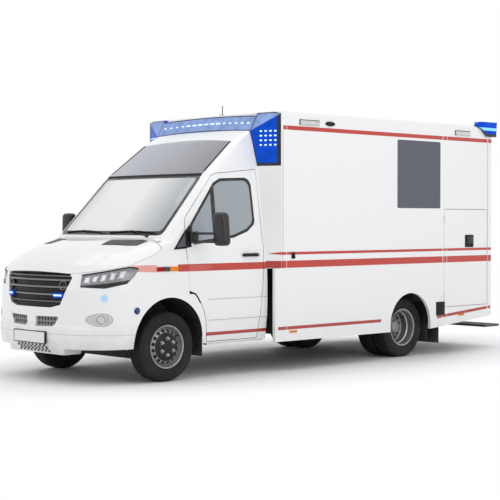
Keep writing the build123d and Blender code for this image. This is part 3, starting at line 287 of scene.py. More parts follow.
def skin_piece(name, node, planes, keep, lift, rim, finish):
    """A piece cut from one panel's own surface, which rides with the panel."""
    bm = bmesh.new()
    skin(bm, node, planes, keep, lift, rim)
    piece(name, bm, BODY_OF[node], finish)


def outline_planes(points, u, v):
    """Planes along a convex outline's edges, and a test of what lies inside. u and v are unit vectors."""
    u, v = Vector(u), Vector(v)
    area = sum(a[0] * b[1] - b[0] * a[1] for a, b in zip(points, points[1:] + points[:1]))
    turn = 1 if area > 0 else -1
    planes = []
    for a, b in zip(points, points[1:] + points[:1]):
        run = Vector((b[0] - a[0], b[1] - a[1])).normalized()
        normal = (u * run.y - v * run.x) * turn
        planes.append((u * a[0] + v * a[1], normal))

    def inside(centre):
        return all((centre - point).dot(normal) < 0 for point, normal in planes)

    return planes, inside


def side_outline(points):
    """An outline given in X and Z millimetres from the front axle, as seen from the side."""
    return outline_planes([(x / 1000 + AXLE_X, z / 1000) for x, z in points], (1, 0, 0), (0, 0, 1))


def front_outline(points):
    """An outline given in Y and Z millimetres, as seen from the front."""
    return outline_planes([(y / 1000, z / 1000) for y, z in points], (0, 1, 0), (0, 0, 1))


def plan_outline(points):
    """An outline given in X and Y millimetres from the front axle, as seen from above."""
    return outline_planes([(x / 1000 + AXLE_X, y / 1000) for x, y in points], (1, 0, 0), (0, 1, 0))


def shrunk(points, by):
    """A convex outline with each edge moved inward."""
    area = sum(a[0] * b[1] - b[0] * a[1] for a, b in zip(points, points[1:] + points[:1]))
    turn = 1 if area > 0 else -1
    lines = []
    for a, b in zip(points, points[1:] + points[:1]):
        run = Vector((b[0] - a[0], b[1] - a[1])).normalized()
        inward = Vector((-run.y, run.x)) * turn * by
        lines.append((Vector(a) + inward, run))
    corners = []
    for (a, run_a), (b, run_b) in zip(lines[-1:] + lines[:-1], lines):
        cross = run_a.x * run_b.y - run_a.y * run_b.x
        gap = b - a
        share = (gap.x * run_b.y - gap.y * run_b.x) / cross
        corners.append(tuple(a + run_a * share))
    return corners


def rounded(points, radius, steps=5):
    """A convex outline with its corners rounded."""
    made = []
    for before, corner, after in zip(points[-1:] + points[:-1], points, points[1:] + points[:1]):
        corner = Vector(corner)
        runs = [Vector(before) - corner, Vector(after) - corner]
        turn = (math.pi - runs[0].angle(runs[1])) / 2
        reach = min(radius * math.tan(turn), 0.45 * runs[0].length, 0.45 * runs[1].length)
        first, last = (corner + run.normalized() * reach for run in runs)
        for step in range(steps + 1):
            share = step / steps
            point = first * (1 - share) ** 2 + corner * 2 * share * (1 - share) + last * share ** 2
            made.append(tuple(point))
    return made


def side_band(bm, node, points, sign, lean, reach, lift, rim=0.0):
    """Adds a panel's skin inside an outline seen from the side.

    lean is the least outward share of a face's normal, and reach its least distance from the middle.
    """
    planes, inside = side_outline(points)
    skin(bm, node, planes, lambda c, n: n.y * sign > lean and c.y * sign > reach and inside(c), lift, rim)


def front_band(bm, node, points, lean, lift, rim=0.0):
    """Adds a panel's skin inside an outline seen from the front. lean is as in side_band."""
    planes, inside = front_outline(points)
    skin(bm, node, planes, lambda c, n: n.x > lean and inside(c), lift, rim)


def framed_faces(name, node, width, min_area, lift):
    """A dark frame round each large flat face of a node."""
    part = bmesh.new()
    part.from_mesh(NODES[node].data)
    bmesh.ops.remove_doubles(part, verts=part.verts, dist=WELD)
    bmesh.ops.dissolve_limit(part, angle_limit=math.radians(1), verts=part.verts, edges=part.edges)
    large = [face for face in part.faces if face.calc_area() > min_area and face.normal.x > 0.1]
    small = [face for face in part.faces if face not in large]
    bmesh.ops.delete(part, geom=small, context="FACES")
    bmesh.ops.inset_individual(part, faces=part.faces[:], thickness=width, use_even_offset=True)
    middle = [face for face in part.faces if all(not edge.is_boundary for edge in face.edges)]
    bmesh.ops.delete(part, geom=middle, context="FACES")
    part.normal_update()
    for vert in part.verts:
        vert.co += vert.normal * lift
    piece(name, part, BODY_OF[node], "gloss_black")


# Shader node groups

def link(tree, source, target):
    tree.links.new(source, target)


def start_group(name, inputs, outputs):
    """A shader node group with named sockets: inputs (name, kind, default), outputs (name, kind)."""
    tree = bpy.data.node_groups.new(name, "ShaderNodeTree")
    for label, kind, default in inputs:
        tree.interface.new_socket(label, in_out="INPUT", socket_type=kind).default_value = default
    for label, kind in outputs:
        tree.interface.new_socket(label, in_out="OUTPUT", socket_type=kind)
    return tree, tree.nodes.new("NodeGroupInput"), tree.nodes.new("NodeGroupOutput")


def math_node(tree, operation, first, second=None):
    """A Math node whose inputs are sockets or numbers."""
    node = tree.nodes.new("ShaderNodeMath")
    node.operation = operation
    for socket, value in zip(node.inputs, (first, second)):
        if isinstance(value, (int, float)):
            socket.default_value = value
        elif value is not None:
            link(tree, value, socket)
    return node.outputs[0]


def range_node(tree, value, low, high, to_low, to_high):
    """A Map Range node, clamped. The limits are sockets or numbers."""
    node = tree.nodes.new("ShaderNodeMapRange")
    link(tree, value, node.inputs[0])
    for socket, limit in zip(node.inputs[1:5], (low, high, to_low, to_high)):
        if isinstance(limit, (int, float)):
            socket.default_value = limit
        else:
            link(tree, limit, socket)
    return node.outputs[0]


def mix_node(tree, share, first, second):
    """A colour mix. Share is a socket; the colours are sockets or values."""
    node = tree.nodes.new("ShaderNodeMix")
    node.data_type = "RGBA"
    link(tree, share, node.inputs[0])
    for socket, value in ((node.inputs[6], first), (node.inputs[7], second)):
        if isinstance(value, bpy.types.NodeSocket):
            link(tree, value, socket)
        else:
            socket.default_value = (*value, 1)
    return node.outputs[2]


def noise_node(tree, scale, detail=3.0):
    """Noise over the object's own coordinates. Scale is a socket or a number."""
    coords = tree.nodes.new("ShaderNodeTexCoord")
    noise = tree.nodes.new("ShaderNodeTexNoise")
    noise.inputs["Detail"].default_value = detail
    link(tree, coords.outputs["Object"], noise.inputs["Vector"])
    if isinstance(scale, (int, float)):
        noise.inputs["Scale"].default_value = scale
    else:
        link(tree, scale, noise.inputs["Scale"])
    return noise.outputs[0]


def frame_axes(tree):
    """A node whose outputs are X, Y and Z in the shared frame."""
    coords = tree.nodes.new("ShaderNodeTexCoord")
    split = tree.nodes.new("ShaderNodeSeparateXYZ")
    link(tree, coords.outputs["Object"], split.inputs[0])
    return split


FLOAT, COLOUR = "NodeSocketFloat", "NodeSocketColor"


def make_groups():
    """Road film, also used as painted shade, fine grain, rubbed edges and open mesh, shared by the materials.
    """
    tree, start, end = start_group(
        "road_film_and_shade",
        (("Colour", COLOUR, (0.8, 0.8, 0.8, 1)), ("Film", COLOUR, (0.3, 0.28, 0.25, 1)), ("Top", FLOAT, 0.9),
         ("Amount", FLOAT, 0.3)),
        (("Colour", COLOUR), ("Mask", FLOAT)),
    )
    fade = range_node(tree, frame_axes(tree).outputs[2], 0.05, start.outputs["Top"], 1, 0)
    patch = range_node(tree, noise_node(tree, 4.5, 6), 0.3, 0.72, 0.15, 1)
    mask = math_node(tree, "MULTIPLY", math_node(tree, "MULTIPLY", fade, patch), start.outputs["Amount"])
    link(tree, mix_node(tree, mask, start.outputs["Colour"], start.outputs["Film"]), end.inputs["Colour"])
    link(tree, mask, end.inputs["Mask"])

    tree, start, end = start_group(
        "fine_grain", (("Scale", FLOAT, 300.0), ("Low", FLOAT, 0.3), ("High", FLOAT, 0.4)),
        (("Height", FLOAT), ("Roughness", FLOAT)),
    )
    link(tree, noise_node(tree, start.outputs["Scale"], 4), end.inputs["Height"])
    blotch = range_node(tree, noise_node(tree, 7, 5), 0.3, 0.7, start.outputs["Low"], start.outputs["High"])
    link(tree, blotch, end.inputs["Roughness"])

    tree, start, end = start_group("rubbed_edge", (("Amount", FLOAT, 0.5),), (("Mask", FLOAT),))
    geometry = tree.nodes.new("ShaderNodeNewGeometry")
    crest = range_node(tree, geometry.outputs["Pointiness"], 0.505, 0.57, 0, 1)
    chips = range_node(tree, noise_node(tree, 60, 5), 0.42, 0.66, 0, 1)
    worn = math_node(tree, "MULTIPLY", math_node(tree, "MULTIPLY", crest, chips), start.outputs["Amount"])
    link(tree, worn, end.inputs["Mask"])

    tree, start, end = start_group(
        "open_mesh",
        (("Across", FLOAT, 0.0), ("Along", FLOAT, 0.0), ("Pitch", FLOAT, 0.02), ("Wire", FLOAT, 0.25)),
        (("Wire Mask", FLOAT),),
    )
    spread = []
    for name in ("Across", "Along"):
        cells = math_node(tree, "DIVIDE", start.outputs[name], start.outputs["Pitch"])
        cell = math_node(tree, "FRACT", cells)
        spread.append(math_node(tree, "ABSOLUTE", math_node(tree, "SUBTRACT", cell, 0.5)))
    reach = math_node(tree, "MAXIMUM", spread[0], spread[1])
    wall = math_node(tree, "SUBTRACT", 0.5, math_node(tree, "MULTIPLY", start.outputs["Wire"], 0.5))
    link(tree, math_node(tree, "GREATER_THAN", reach, wall), end.inputs["Wire Mask"])


def place_group(tree, name, **values):
    """A node group placed in a material, with sockets, colours or numbers on its inputs."""
    node = tree.nodes.new("ShaderNodeGroup")
    node.node_tree = bpy.data.node_groups[name]
    for label, value in values.items():
        socket = node.inputs[label]
        if isinstance(value, bpy.types.NodeSocket):
            link(tree, value, socket)
        elif isinstance(value, tuple):
            socket.default_value = (*value, 1)
        else:
            socket.default_value = value
    return node


def start_material(name, **sockets):
    """A new material and its Principled shader with plain values set on its sockets.

    The frame's own material of that name, if there is one, is renamed.
    """
    if name in bpy.data.materials:
        bpy.data.materials[name].name = f"{name}_of_frame"
    material = bpy.data.materials.new(name)
    material.use_nodes = True
    shader = material.node_tree.nodes["Principled BSDF"]
    for label, value in sockets.items():
        shader.inputs[label.replace("_", " ")].default_value = value
    return material, material.node_tree, shader


def grained(tree, shader, scale, depth, low, high):
    """Grain as bump and a roughness that wanders between low and high."""
    grain = place_group(tree, "fine_grain", Scale=scale, Low=low, High=high)
    link(tree, grain.outputs["Roughness"], shader.inputs["Roughness"])
    bump = tree.nodes.new("ShaderNodeBump")
    bump.inputs["Strength"].default_value = 0.5
    bump.inputs["Distance"].default_value = depth
    link(tree, grain.outputs["Height"], bump.inputs["Height"])
    link(tree, bump.outputs[0], shader.inputs["Normal"])
    return bump


def filmed_and_shaded(tree, shader, colour, top, amount, film=(0.26, 0.24, 0.21)):
    """Road film over a colour, strongest near the road; on the bumper the same darkening is painted shade."""
    node = place_group(tree, "road_film_and_shade", Colour=colour, Film=film, Top=top, Amount=amount)
    link(tree, node.outputs["Colour"], shader.inputs["Base Color"])


# Finishes: name, colour, roughness from and to, grain scale and depth, film top and amount, metallic, coat.
# Those of the chassis and the engine are given by the nodes' own slots.
PLAIN_FINISHES = (
    ("black_plastic", (0.012, 0.012, 0.013), 0.38, 0.55, 420, 0.0006, 0.9, 0.06, 0.0, 0.0),
    ("gloss_black", (0.010, 0.010, 0.012), 0.08, 0.16, 90, 0.0001, 0.9, 0.10, 0.0, 0.5),
    ("seal_rubber", (0.012, 0.012, 0.012), 0.60, 0.78, 300, 0.0004, 0.9, 0.10, 0.0, 0.0),
    ("liner_plastic", (0.010, 0.010, 0.011), 0.75, 0.90, 160, 0.0010, 0.9, 0.35, 0.0, 0.0),
    ("cabin_plastic", (0.045, 0.046, 0.050), 0.50, 0.68, 380, 0.0008, 2.6, 0.10, 0.0, 0.0),
    ("cabin_trim", (0.20, 0.20, 0.21), 0.55, 0.70, 320, 0.0008, 2.6, 0.10, 0.0, 0.0),
    ("floor_vinyl", (0.10, 0.105, 0.11), 0.55, 0.75, 240, 0.0012, 0.3, 0.2, 0.0, 0.0),
    ("chassis_paint", (0.014, 0.014, 0.015), 0.45, 0.70, 120, 0.0008, 0.9, 0.5, 0.0, 0.0),
    ("cast_iron", (0.10, 0.10, 0.105), 0.55, 0.80, 150, 0.0015, 0.9, 0.4, 0.6, 0.0),
    ("chrome", (0.62, 0.63, 0.65), 0.10, 0.22, 60, 0.0001, 0.9, 0.05, 1.0, 0.0),
    ("bright_steel", (0.42, 0.42, 0.43), 0.28, 0.45, 200, 0.0004, 0.9, 0.10, 1.0, 0.0),
    ("hub_grey", (0.016, 0.016, 0.018), 0.40, 0.60, 260, 0.0006, 0.7, 0.08, 0.1, 0.0),
    ("satin_black", (0.022, 0.022, 0.024), 0.24, 0.34, 300, 0.0003, 0.9, 0.05, 0.0, 0.3),
    # The crease grey and the recess white are white paint darkened as painted shade in creases and hollows
    ("crease_shade_grey", (0.46, 0.46, 0.47), 0.40, 0.52, 300, 0.0003, 0.9, 0.10, 0.0, 0.0),
    ("slat_grey", (0.20, 0.20, 0.21), 0.24, 0.40, 200, 0.0003, 0.9, 0.10, 0.8, 0.0),
    ("recess_shade_white", (0.62, 0.62, 0.63), 0.36, 0.46, 300, 0.0003, 0.9, 0.20, 0.0, 0.0),
    ("bezel_silver", (0.60, 0.61, 0.62), 0.28, 0.42, 200, 0.0002, 0.8, 0.05, 0.3, 0.2),
    ("plate_white", (0.83, 0.84, 0.85), 0.30, 0.42, 120, 0.0003, 0.6, 0.10, 0.0, 0.0),
    ("box_glass", (0.098, 0.105, 0.132), 0.24, 0.32, 80, 0.00003, 3.2, 0.06, 0.0, 0.3),
    ("lamp_dark", (0.23, 0.235, 0.245), 0.20, 0.35, 120, 0.0004, 1.6, 0.25, 0.6, 0.0),
    ("screen_dark", (0.006, 0.007, 0.009), 0.10, 0.20, 80, 0.0001, 2.6, 0.06, 0.0, 0.0),
)


def make_materials(colours):
    """Every material of the ambulance."""
    for name, colour, low, high, scale, depth, top, amount, metallic, coat in PLAIN_FINISHES:
        _, tree, shader = start_material(name, Metallic=metallic, Coat_Weight=coat, Specular_IOR_Level=0.2)
        filmed_and_shaded(tree, shader, colour, top, amount)
        grained(tree, shader, scale, depth, low, high)

    # Paint and film: name, colour, height and amount of road film. The bumper's strong film low down is
    # painted shade under its curve
    painted = (
        ("white_paint", colours.paint, 0.75, 0.14), ("shaded_bumper_paint", colours.paint, 0.62, 1.0),
        # The darker red is the stripe with painted shade, the pale red the stripe with a painted highlight
        ("red_stripe", colours.stripe, 0.75, 0.05), ("shaded_stripe", colours.stripe_in_shade, 0.75, 0.12),
        ("lit_stripe", (0.75, 0.33, 0.30), 0.75, 0.05),
    )
    for name, colour, top, amount in painted:
        _, tree, shader = start_material(name, Coat_Weight=0.55, Coat_Roughness=0.06)
        filmed_and_shaded(tree, shader, tuple(colour), top, amount)
        grained(tree, shader, 900, 0.00004, 0.30, 0.38)

    _, tree, shader = start_material("wheel_steel", Metallic=0.55)
    rub = place_group(tree, "rubbed_edge", Amount=0.4)
    worn = mix_node(tree, rub.outputs["Mask"], tuple(colours.steel), (0.62, 0.62, 0.63))
    filmed_and_shaded(tree, shader, worn, 0.62, 0.22)
    grained(tree, shader, 260, 0.0002, 0.34, 0.48)

    _, tree, shader = start_material("tyre", Specular_IOR_Level=0.25)
    filmed_and_shaded(tree, shader, (0.009, 0.009, 0.010), 0.75, 0.09)
    grained(tree, shader, 350, 0.0006, 0.66, 0.84)

    _, tree, shader = start_material("tread_plate")
    rub = place_group(tree, "rubbed_edge", Amount=0.7)
    worn = mix_node(tree, rub.outputs["Mask"], (0.018, 0.018, 0.019), (0.20, 0.20, 0.20))
    filmed_and_shaded(tree, shader, worn, 0.6, 0.25)
    grained(tree, shader, 180, 0.0008, 0.5, 0.7)

    # Glass: name, colour and far colour, alpha and far alpha. The pale band across the pane is a painted
    # reflection, palest and most opaque round Y = -0.2 m, fading to the far colour and alpha to the sides
    glasses = (
        ("glass", (0.98, 0.99, 1.0), (0.58, 0.61, 0.64), 0.82, 0.60),
        ("door_glass", (0.52, 0.58, 0.63), (0.46, 0.52, 0.57), 0.66, 0.60),
        ("dark_glass", (0.035, 0.040, 0.046), (0.030, 0.034, 0.040), 0.88, 0.84),
        ("clear_lens", (0.80, 0.82, 0.85), (0.74, 0.76, 0.79), 0.12, 0.08),
    )
    for name, colour, far_colour, alpha, far_alpha in glasses:
        _, tree, shader = start_material(name, Coat_Weight=1.0, Coat_Roughness=0.02, IOR=1.5)
        across = math_node(tree, "ABSOLUTE", math_node(tree, "ADD", frame_axes(tree).outputs[1], 0.2))
        painted_reflection_falloff = range_node(tree, across, 0.35, 0.95, 0, 1)
        link(tree, range_node(tree, painted_reflection_falloff, 0, 1, alpha, far_alpha), shader.inputs["Alpha"])
        filmed_and_shaded(tree, shader, mix_node(tree, painted_reflection_falloff, colour, far_colour), 1.2, 0.05)
        grained(tree, shader, 25, 0.00002, 0.03, 0.09)

    # Lenses: name, colour, glow, coat
    lenses = (
        ("blue_lens", colours.blue, 0.22, 0.08), ("bar_lens", colours.bar_blue, 0.28, 0.08),
        ("amber_lens", colours.amber, 0.05, 0.08),
        ("dome_lens", tuple(c * 0.55 for c in colours.blue), 0.05, 1.0),
        ("red_lens", (0.42, 0.008, 0.008), 0.03, 0.08), ("white_lens", (0.72, 0.73, 0.74), 0.02, 0.08),
        ("lamp_lens", (0.92, 0.93, 0.95), 0.12, 0.08),
    )
    for name, colour, glow, coat in lenses:
        _, tree, shader = start_material(
            name, Coat_Weight=coat, Coat_Roughness=0.05, Specular_IOR_Level=0.06, Emission_Strength=glow,
        )
        tint = range_node(tree, noise_node(tree, 9, 2), 0.3, 0.7, 0, 1)
        shade = mix_node(tree, tint, tuple(colour), tuple(c * 0.72 for c in colour))
        link(tree, shade, shader.inputs["Base Color"])
        link(tree, shade, shader.inputs["Emission Color"])
        grained(tree, shader, 140, 0.0003, 0.10, 0.20)

    # Lit dots and dashes: name, bright and dim colour
    for name, bright, dim in (
        ("led_white", (0.68, 0.84, 1.0), (0.46, 0.70, 1.0)),
        ("led_blue", (0.24, 0.56, 1.0), (0.12, 0.42, 0.95)),
    ):
        _, tree, shader = start_material(name, Emission_Strength=0.7)
        core = mix_node(tree, range_node(tree, noise_node(tree, 120, 2), 0.35, 0.65, 0, 1), bright, dim)
        link(tree, core, shader.inputs["Base Color"])
        link(tree, core, shader.inputs["Emission Color"])
        grained(tree, shader, 80, 0.0001, 0.2, 0.3)

    # Faceted bowl of a head lamp module; each facet is painted bright in its middle and darker towards its
    # edges as a painted reflection
    _, tree, shader = start_material("lamp_reflector", Metallic=0.9)
    facets = tree.nodes.new("ShaderNodeTexVoronoi")
    coords = tree.nodes.new("ShaderNodeTexCoord")
    link(tree, coords.outputs["Object"], facets.inputs["Vector"])
    facets.inputs["Scale"].default_value = 34
    shade = range_node(tree, facets.outputs["Distance"], 0.0, 0.7, 0, 1)
    link(tree, mix_node(tree, shade, (0.70, 0.72, 0.75), (0.30, 0.31, 0.33)), shader.inputs["Base Color"])
    grained(tree, shader, 120, 0.0004, 0.14, 0.28)

    # Grey film of the roof panel with a painted reflection across it: paler towards the vehicle's right,
    # darker towards the vehicle's left
    _, tree, shader = start_material("grey_panel", Coat_Weight=0.3, Coat_Roughness=0.1)
    painted_reflection_falloff = range_node(tree, frame_axes(tree).outputs[1], -0.75, 0.80, 0, 1)
    pale, dark = (tuple(c * share for c in colours.panel) for share in (2.1, 0.95))
    shade = mix_node(tree, painted_reflection_falloff, pale, dark)
    link(tree, shade, shader.inputs["Base Color"])
    grained(tree, shader, 500, 0.0001, 0.32, 0.44)

    # Open mesh of the lower grille and the bonnet's vents: name, its two axes, pitch, colour of the wire
    for name, first, second, pitch, wire in (
        ("front_mesh", 1, 2, 0.045, (0.24, 0.24, 0.25)),
        ("vent_mesh", 0, 1, 0.014, (0.075, 0.077, 0.082)),
    ):
        _, tree, shader = start_material(name)
        axes = frame_axes(tree).outputs
        mesh = place_group(tree, "open_mesh", Across=axes[first], Along=axes[second], Pitch=pitch, Wire=0.34)
        mask = mesh.outputs["Wire Mask"]
        link(tree, mix_node(tree, mask, (0.004, 0.004, 0.004), wire), shader.inputs["Base Color"])
        bump = grained(tree, shader, 300, 0.003, 0.45, 0.65)
        link(tree, mask, bump.inputs["Height"])

    # Woven seat cover
    _, tree, shader = start_material("seat_fabric", Sheen_Weight=0.25)
    coords = tree.nodes.new("ShaderNodeTexCoord")
    threads = []
    for direction in ("X", "Z"):
        wave = tree.nodes.new("ShaderNodeTexWave")
        wave.bands_direction = direction
        wave.inputs["Scale"].default_value = 160
        link(tree, coords.outputs["Object"], wave.inputs["Vector"])
        threads.append(wave.outputs["Fac"])
    weave = math_node(tree, "MULTIPLY", threads[0], threads[1])
    yarn = mix_node(tree, weave, (0.030, 0.032, 0.036), (0.10, 0.105, 0.115))
    link(tree, yarn, shader.inputs["Base Color"])
    bump = grained(tree, shader, 260, 0.0012, 0.78, 0.92)
    link(tree, weave, bump.inputs["Height"])


# Nodes that get another finish than their slot's own
OWN_FINISH = {
    "box_window": "box_glass",
    "rear_glass_left": "dark_glass", "rear_glass_right": "dark_glass", "side_door_glass": "dark_glass",
    "door_glass_left": "door_glass", "door_glass_right": "door_glass",
    "light_bar": "bar_lens",
    "scuttle": "white_paint", "front_bumper": "shaded_bumper_paint",
    "wheel_liners": "liner_plastic",
    "rear_step": "tread_plate",
    "box_floor": "floor_vinyl", "cab_floor": "floor_vinyl",
    "cab_back_wall": "cabin_trim",
}
# Panels whose outer edges are softened: node, edge radius in metres
SOFT_EDGES = (
    ("locker_door", 0.004), ("side_door", 0.004), ("rear_door_left", 0.004), ("rear_door_right", 0.004),
    ("box_wall_left", 0.004), ("box_wall_right", 0.004), ("box_rear_frame", 0.004), ("rear_lamps", 0.006),
    ("rear_step", 0.004), ("front_beam", 0.006), ("fuel_tank", 0.03),
)


class AMBULANCE_OT_finishes(Operator):
    """Makes the materials and gives one to every CAD node."""
    bl_idname = "ambulance.finishes"
    bl_label = "Paint and finishes"

    def execute(self, context):
        make_groups()
        make_materials(context.scene.ambulance_colours)
        for row in frame["record"]["subparts"]:
            name = row["node"]
            finish = bpy.data.materials[OWN_FINISH.get(name, row["material_slot"])]
            obj = NODES[name]
            if not obj.material_slots:
                obj.data.materials.append(finish)
            for slot in obj.material_slots:
                slot.material = finish
        for name, radius in SOFT_EDGES:
            weld = NODES[name].modifiers.new("weld", "WELD")
            weld.merge_threshold = 0.00005
            bevel = NODES[name].modifiers.new("soft_edges", "BEVEL")
            bevel.width = radius
            bevel.segments = 2
            bevel.limit_method = "ANGLE"
            bevel.angle_limit = math.radians(50)
            bevel.harden_normals = True
        return {"FINISHED"}


# Lamps of the stage: name, place and size in metres, power in watts
LAMPS = (
    ("top_light", (0.5, 1.0, 9.0), 11.0, 350), ("front_light", (10.0, -2.5, 5.0), 6.0, 98),
    ("side_light", (1.0, 11.0, 5.0), 7.0, 220),
)
LAMP_TARGET = Vector((0, 0, 1.0))
CAMERA_PLACE = at(8830.8, 11404.1, 1630.6)
CAMERA_YAW, CAMERA_PITCH = math.radians(46.278), math.radians(1.2418)
# Half length and half width of the floor's shadowed oval, in metres
FLOOR_OVAL = (3.9, 2.1)
WORLD_LIGHT = 0.53


class AMBULANCE_OT_stage(Operator):
    """Sets the floor, the soft light and the camera."""
    bl_idname = "ambulance.stage"
    bl_label = "Floor, light and camera"

    def execute(self, context):
        scene = context.scene
        scene.view_settings.view_transform = "Standard"
        bm = bmesh.new()
        bmesh.ops.create_grid(bm, x_segments=8, y_segments=8, size=60)
        mesh = bpy.data.meshes.new("studio_floor")
        bm.to_mesh(mesh)
        bm.free()
        floor = bpy.data.objects.new("studio_floor", mesh)
        context.collection.objects.link(floor)
        mesh.materials.append(self.floor_material())
        self.world(scene)
        for name, place, size, power in LAMPS:
            light = bpy.data.lights.new(name, "AREA")
            light.size = size
            light.energy = power
            lamp = bpy.data.objects.new(name, light)
            lamp.location = place
            lamp.rotation_euler = (LAMP_TARGET - Vector(place)).to_track_quat("-Z", "Y").to_euler()
            context.collection.objects.link(lamp)
        data = bpy.data.cameras.new("photo_view")
        data.lens = scene.ambulance_sizes.lens_mm
        data.sensor_width = 36
        data.clip_end = 200
        camera = bpy.data.objects.new("photo_view", data)
        camera.location = CAMERA_PLACE
        level = math.cos(CAMERA_PITCH)
        ahead = -Vector((math.cos(CAMERA_YAW) * level, math.sin(CAMERA_YAW) * level, math.sin(CAMERA_PITCH)))
        camera.rotation_euler = ahead.to_track_quat("-Z", "Y").to_euler()
        context.collection.objects.link(camera)
        scene.camera = camera
        return {"FINISHED"}

    @staticmethod
    def floor_material():
        """Pale floor that keeps the shadow near the ambulance and fades to white round it."""
        material, tree, shader = start_material("studio_floor", Roughness=0.6, Specular_IOR_Level=0.1)
        patch = range_node(tree, noise_node(tree, 2, 3), 0.3, 0.7, 0, 1)
        link(tree, mix_node(tree, patch, (0.90, 0.90, 0.90), (0.92, 0.92, 0.92)), shader.inputs["Base Color"])
        split = frame_axes(tree)
        squares = [
            math_node(tree, "POWER", math_node(tree, "DIVIDE", split.outputs[axis], half), 2)
            for axis, half in enumerate(FLOOR_OVAL)
        ]
        reach = math_node(tree, "SQRT", math_node(tree, "ADD", *squares))
        fade = range_node(tree, reach, 0.75, 1.25, 0, 1)
        white = tree.nodes.new("ShaderNodeEmission")
        mix = tree.nodes.new("ShaderNodeMixShader")
        link(tree, fade, mix.inputs[0])
        link(tree, shader.outputs[0], mix.inputs[1])
        link(tree, white.outputs[0], mix.inputs[2])
        link(tree, mix.outputs[0], tree.nodes["Material Output"].inputs["Surface"])
        return material

    @staticmethod
    def world(scene):
        """White to the camera and in reflections, softer as a light."""
        world = bpy.data.worlds.new("studio")
        world.use_nodes = True
        tree = world.node_tree
        path = tree.nodes.new("ShaderNodeLightPath")
        seen = math_node(tree, "MAXIMUM", path.outputs["Is Camera Ray"], path.outputs["Is Glossy Ray"])
        seen = math_node(tree, "MAXIMUM", seen, path.outputs["Is Transmission Ray"])
        strength = range_node(tree, seen, 0, 1, WORLD_LIGHT, 1.0)
        back = tree.nodes["Background"]
        back.inputs["Color"].default_value = (1, 1, 1, 1)
        link(tree, strength, back.inputs["Strength"])
        scene.world = world


# Stripes along the box, in mm: name, finish, front X, rear X, low and high Z at the front and at the rear
BOX_STRIPES = (
    ("roof_stripe", "red_stripe", -1510, -5250, (2615, 2660, 2615, 2660)),
    ("thin_stripe", "red_stripe", -1480, -5250, (1262, 1292, 1262, 1292)),
    ("broad_stripe", "red_stripe", -1391, -5250, (1120, 1197, 1120, 1197)),
    # The sill and tail stripes are the red darkened as painted shade, low on the sides
    ("sill_stripe", "shaded_stripe", -1432, -3125, (450, 485, 450, 485)),
    ("tail_stripe", "shaded_stripe", -4161, -5235, (442, 477, 522, 557)),
)
# Thin gaps where the film is cut at seams: front X, rear X
FILM_GAPS = ((-1560, -1567), (-4262, -4272), (-4345, -4353), (-5166, -5180))
# Stripes on the cab, columns as above, with the panels that carry them
CAB_STRIPES = (
    ("cab_stripe", "red_stripe", -113, -1375, (1113, 1187, 1113, 1187),
     ("front_wings", "cab_sides", "cab_door")),
    # The tip on the front wing is the red paled as a painted highlight, and the sill stripe the red darkened
    # as painted shade
    ("cab_tip", "lit_stripe", 470, 168, (1128, 1187, 1113, 1187),
     ("front_wings", "front_bumper", "cab_sides")),
    ("cab_sill_stripe", "shaded_stripe", -505, -1375, (438, 473, 438, 473),
     ("front_wings", "cab_sides", "cab_door")),
)
# Stripes on the slanting flares between cab and box, columns as above
FLARE_STRIPES = (
    # The corner stripe on the flare is the red darkened as painted shade
    ("corner_stripe", "shaded_stripe", -1350, -1479, (1120, 1197, 1120, 1197)),
    ("stripe_point", "red_stripe", -1385, -1479, (1276, 1278, 1262, 1292)),
)
BOX_SIDES = {"left": ("box_wall_left", "locker_door"), "right": ("box_wall_right", "side_door")}


def kept_runs(front, rear, gaps):
    """The stretches between front and rear that no gap interrupts."""
    runs = [(front, rear)]
    for gap_front, gap_rear in gaps:
        cut = []
        for a, b in runs:
            if b < gap_rear and gap_front < a:
                cut.extend(((a, gap_front), (gap_rear, b)))
            else:
                cut.append((a, b))
        runs = cut
    return runs


class AMBULANCE_OT_stripes(Operator):
    """Lays the red stripes on the box and the cab as film cut from the panels' own surfaces."""
    bl_idname = "ambulance.stripes"
    bl_label = "Stripes"

    def execute(self, context):
        self.lift = context.scene.ambulance_sizes.film
        for name, finish, front, rear, levels in BOX_STRIPES:
            for side, sign in SIDES:
                for node in BOX_SIDES[side]:
                    self.film(f"{name}_{node}", node, sign, finish, front, rear, levels, FILM_GAPS)
        for name, finish, front, rear, levels, panels in CAB_STRIPES:
            for side, sign in SIDES:
                for panel in panels:
                    node = f"cab_door_{side}" if panel == "cab_door" else panel
                    self.film(f"{name}_{side}_{panel}", node, sign, finish, front, rear, levels)
        for side, sign in SIDES:
            for name, finish, front, rear, levels in FLARE_STRIPES:
                self.film(f"{name}_{side}", "side_flares", sign, finish, front, rear, levels)
        return {"FINISHED"}

    def film(self, name, node, sign, finish, front, rear, levels, gaps=()):
        """One stripe on one panel, if it reaches that panel. levels are as in the tables."""
        low_front, high_front, low_rear, high_rear = levels
        rise = [(r - f) / (rear - front) for f, r in ((low_front, low_rear), (high_front, high_rear))]
        bm = bmesh.new()
        for a, b in kept_runs(front, rear, gaps):
            corners = [
                (a, low_front + rise[0] * (a - front)), (b, low_front + rise[0] * (b - front)),
                (b, high_front + rise[1] * (b - front)), (a, high_front + rise[1] * (a - front)),
            ]
            side_band(bm, node, corners, sign, 0.35, 0.8, self.lift)
        if bm.faces:
            piece(name, bm, BODY_OF[node], finish)
        else:
            bm.free()


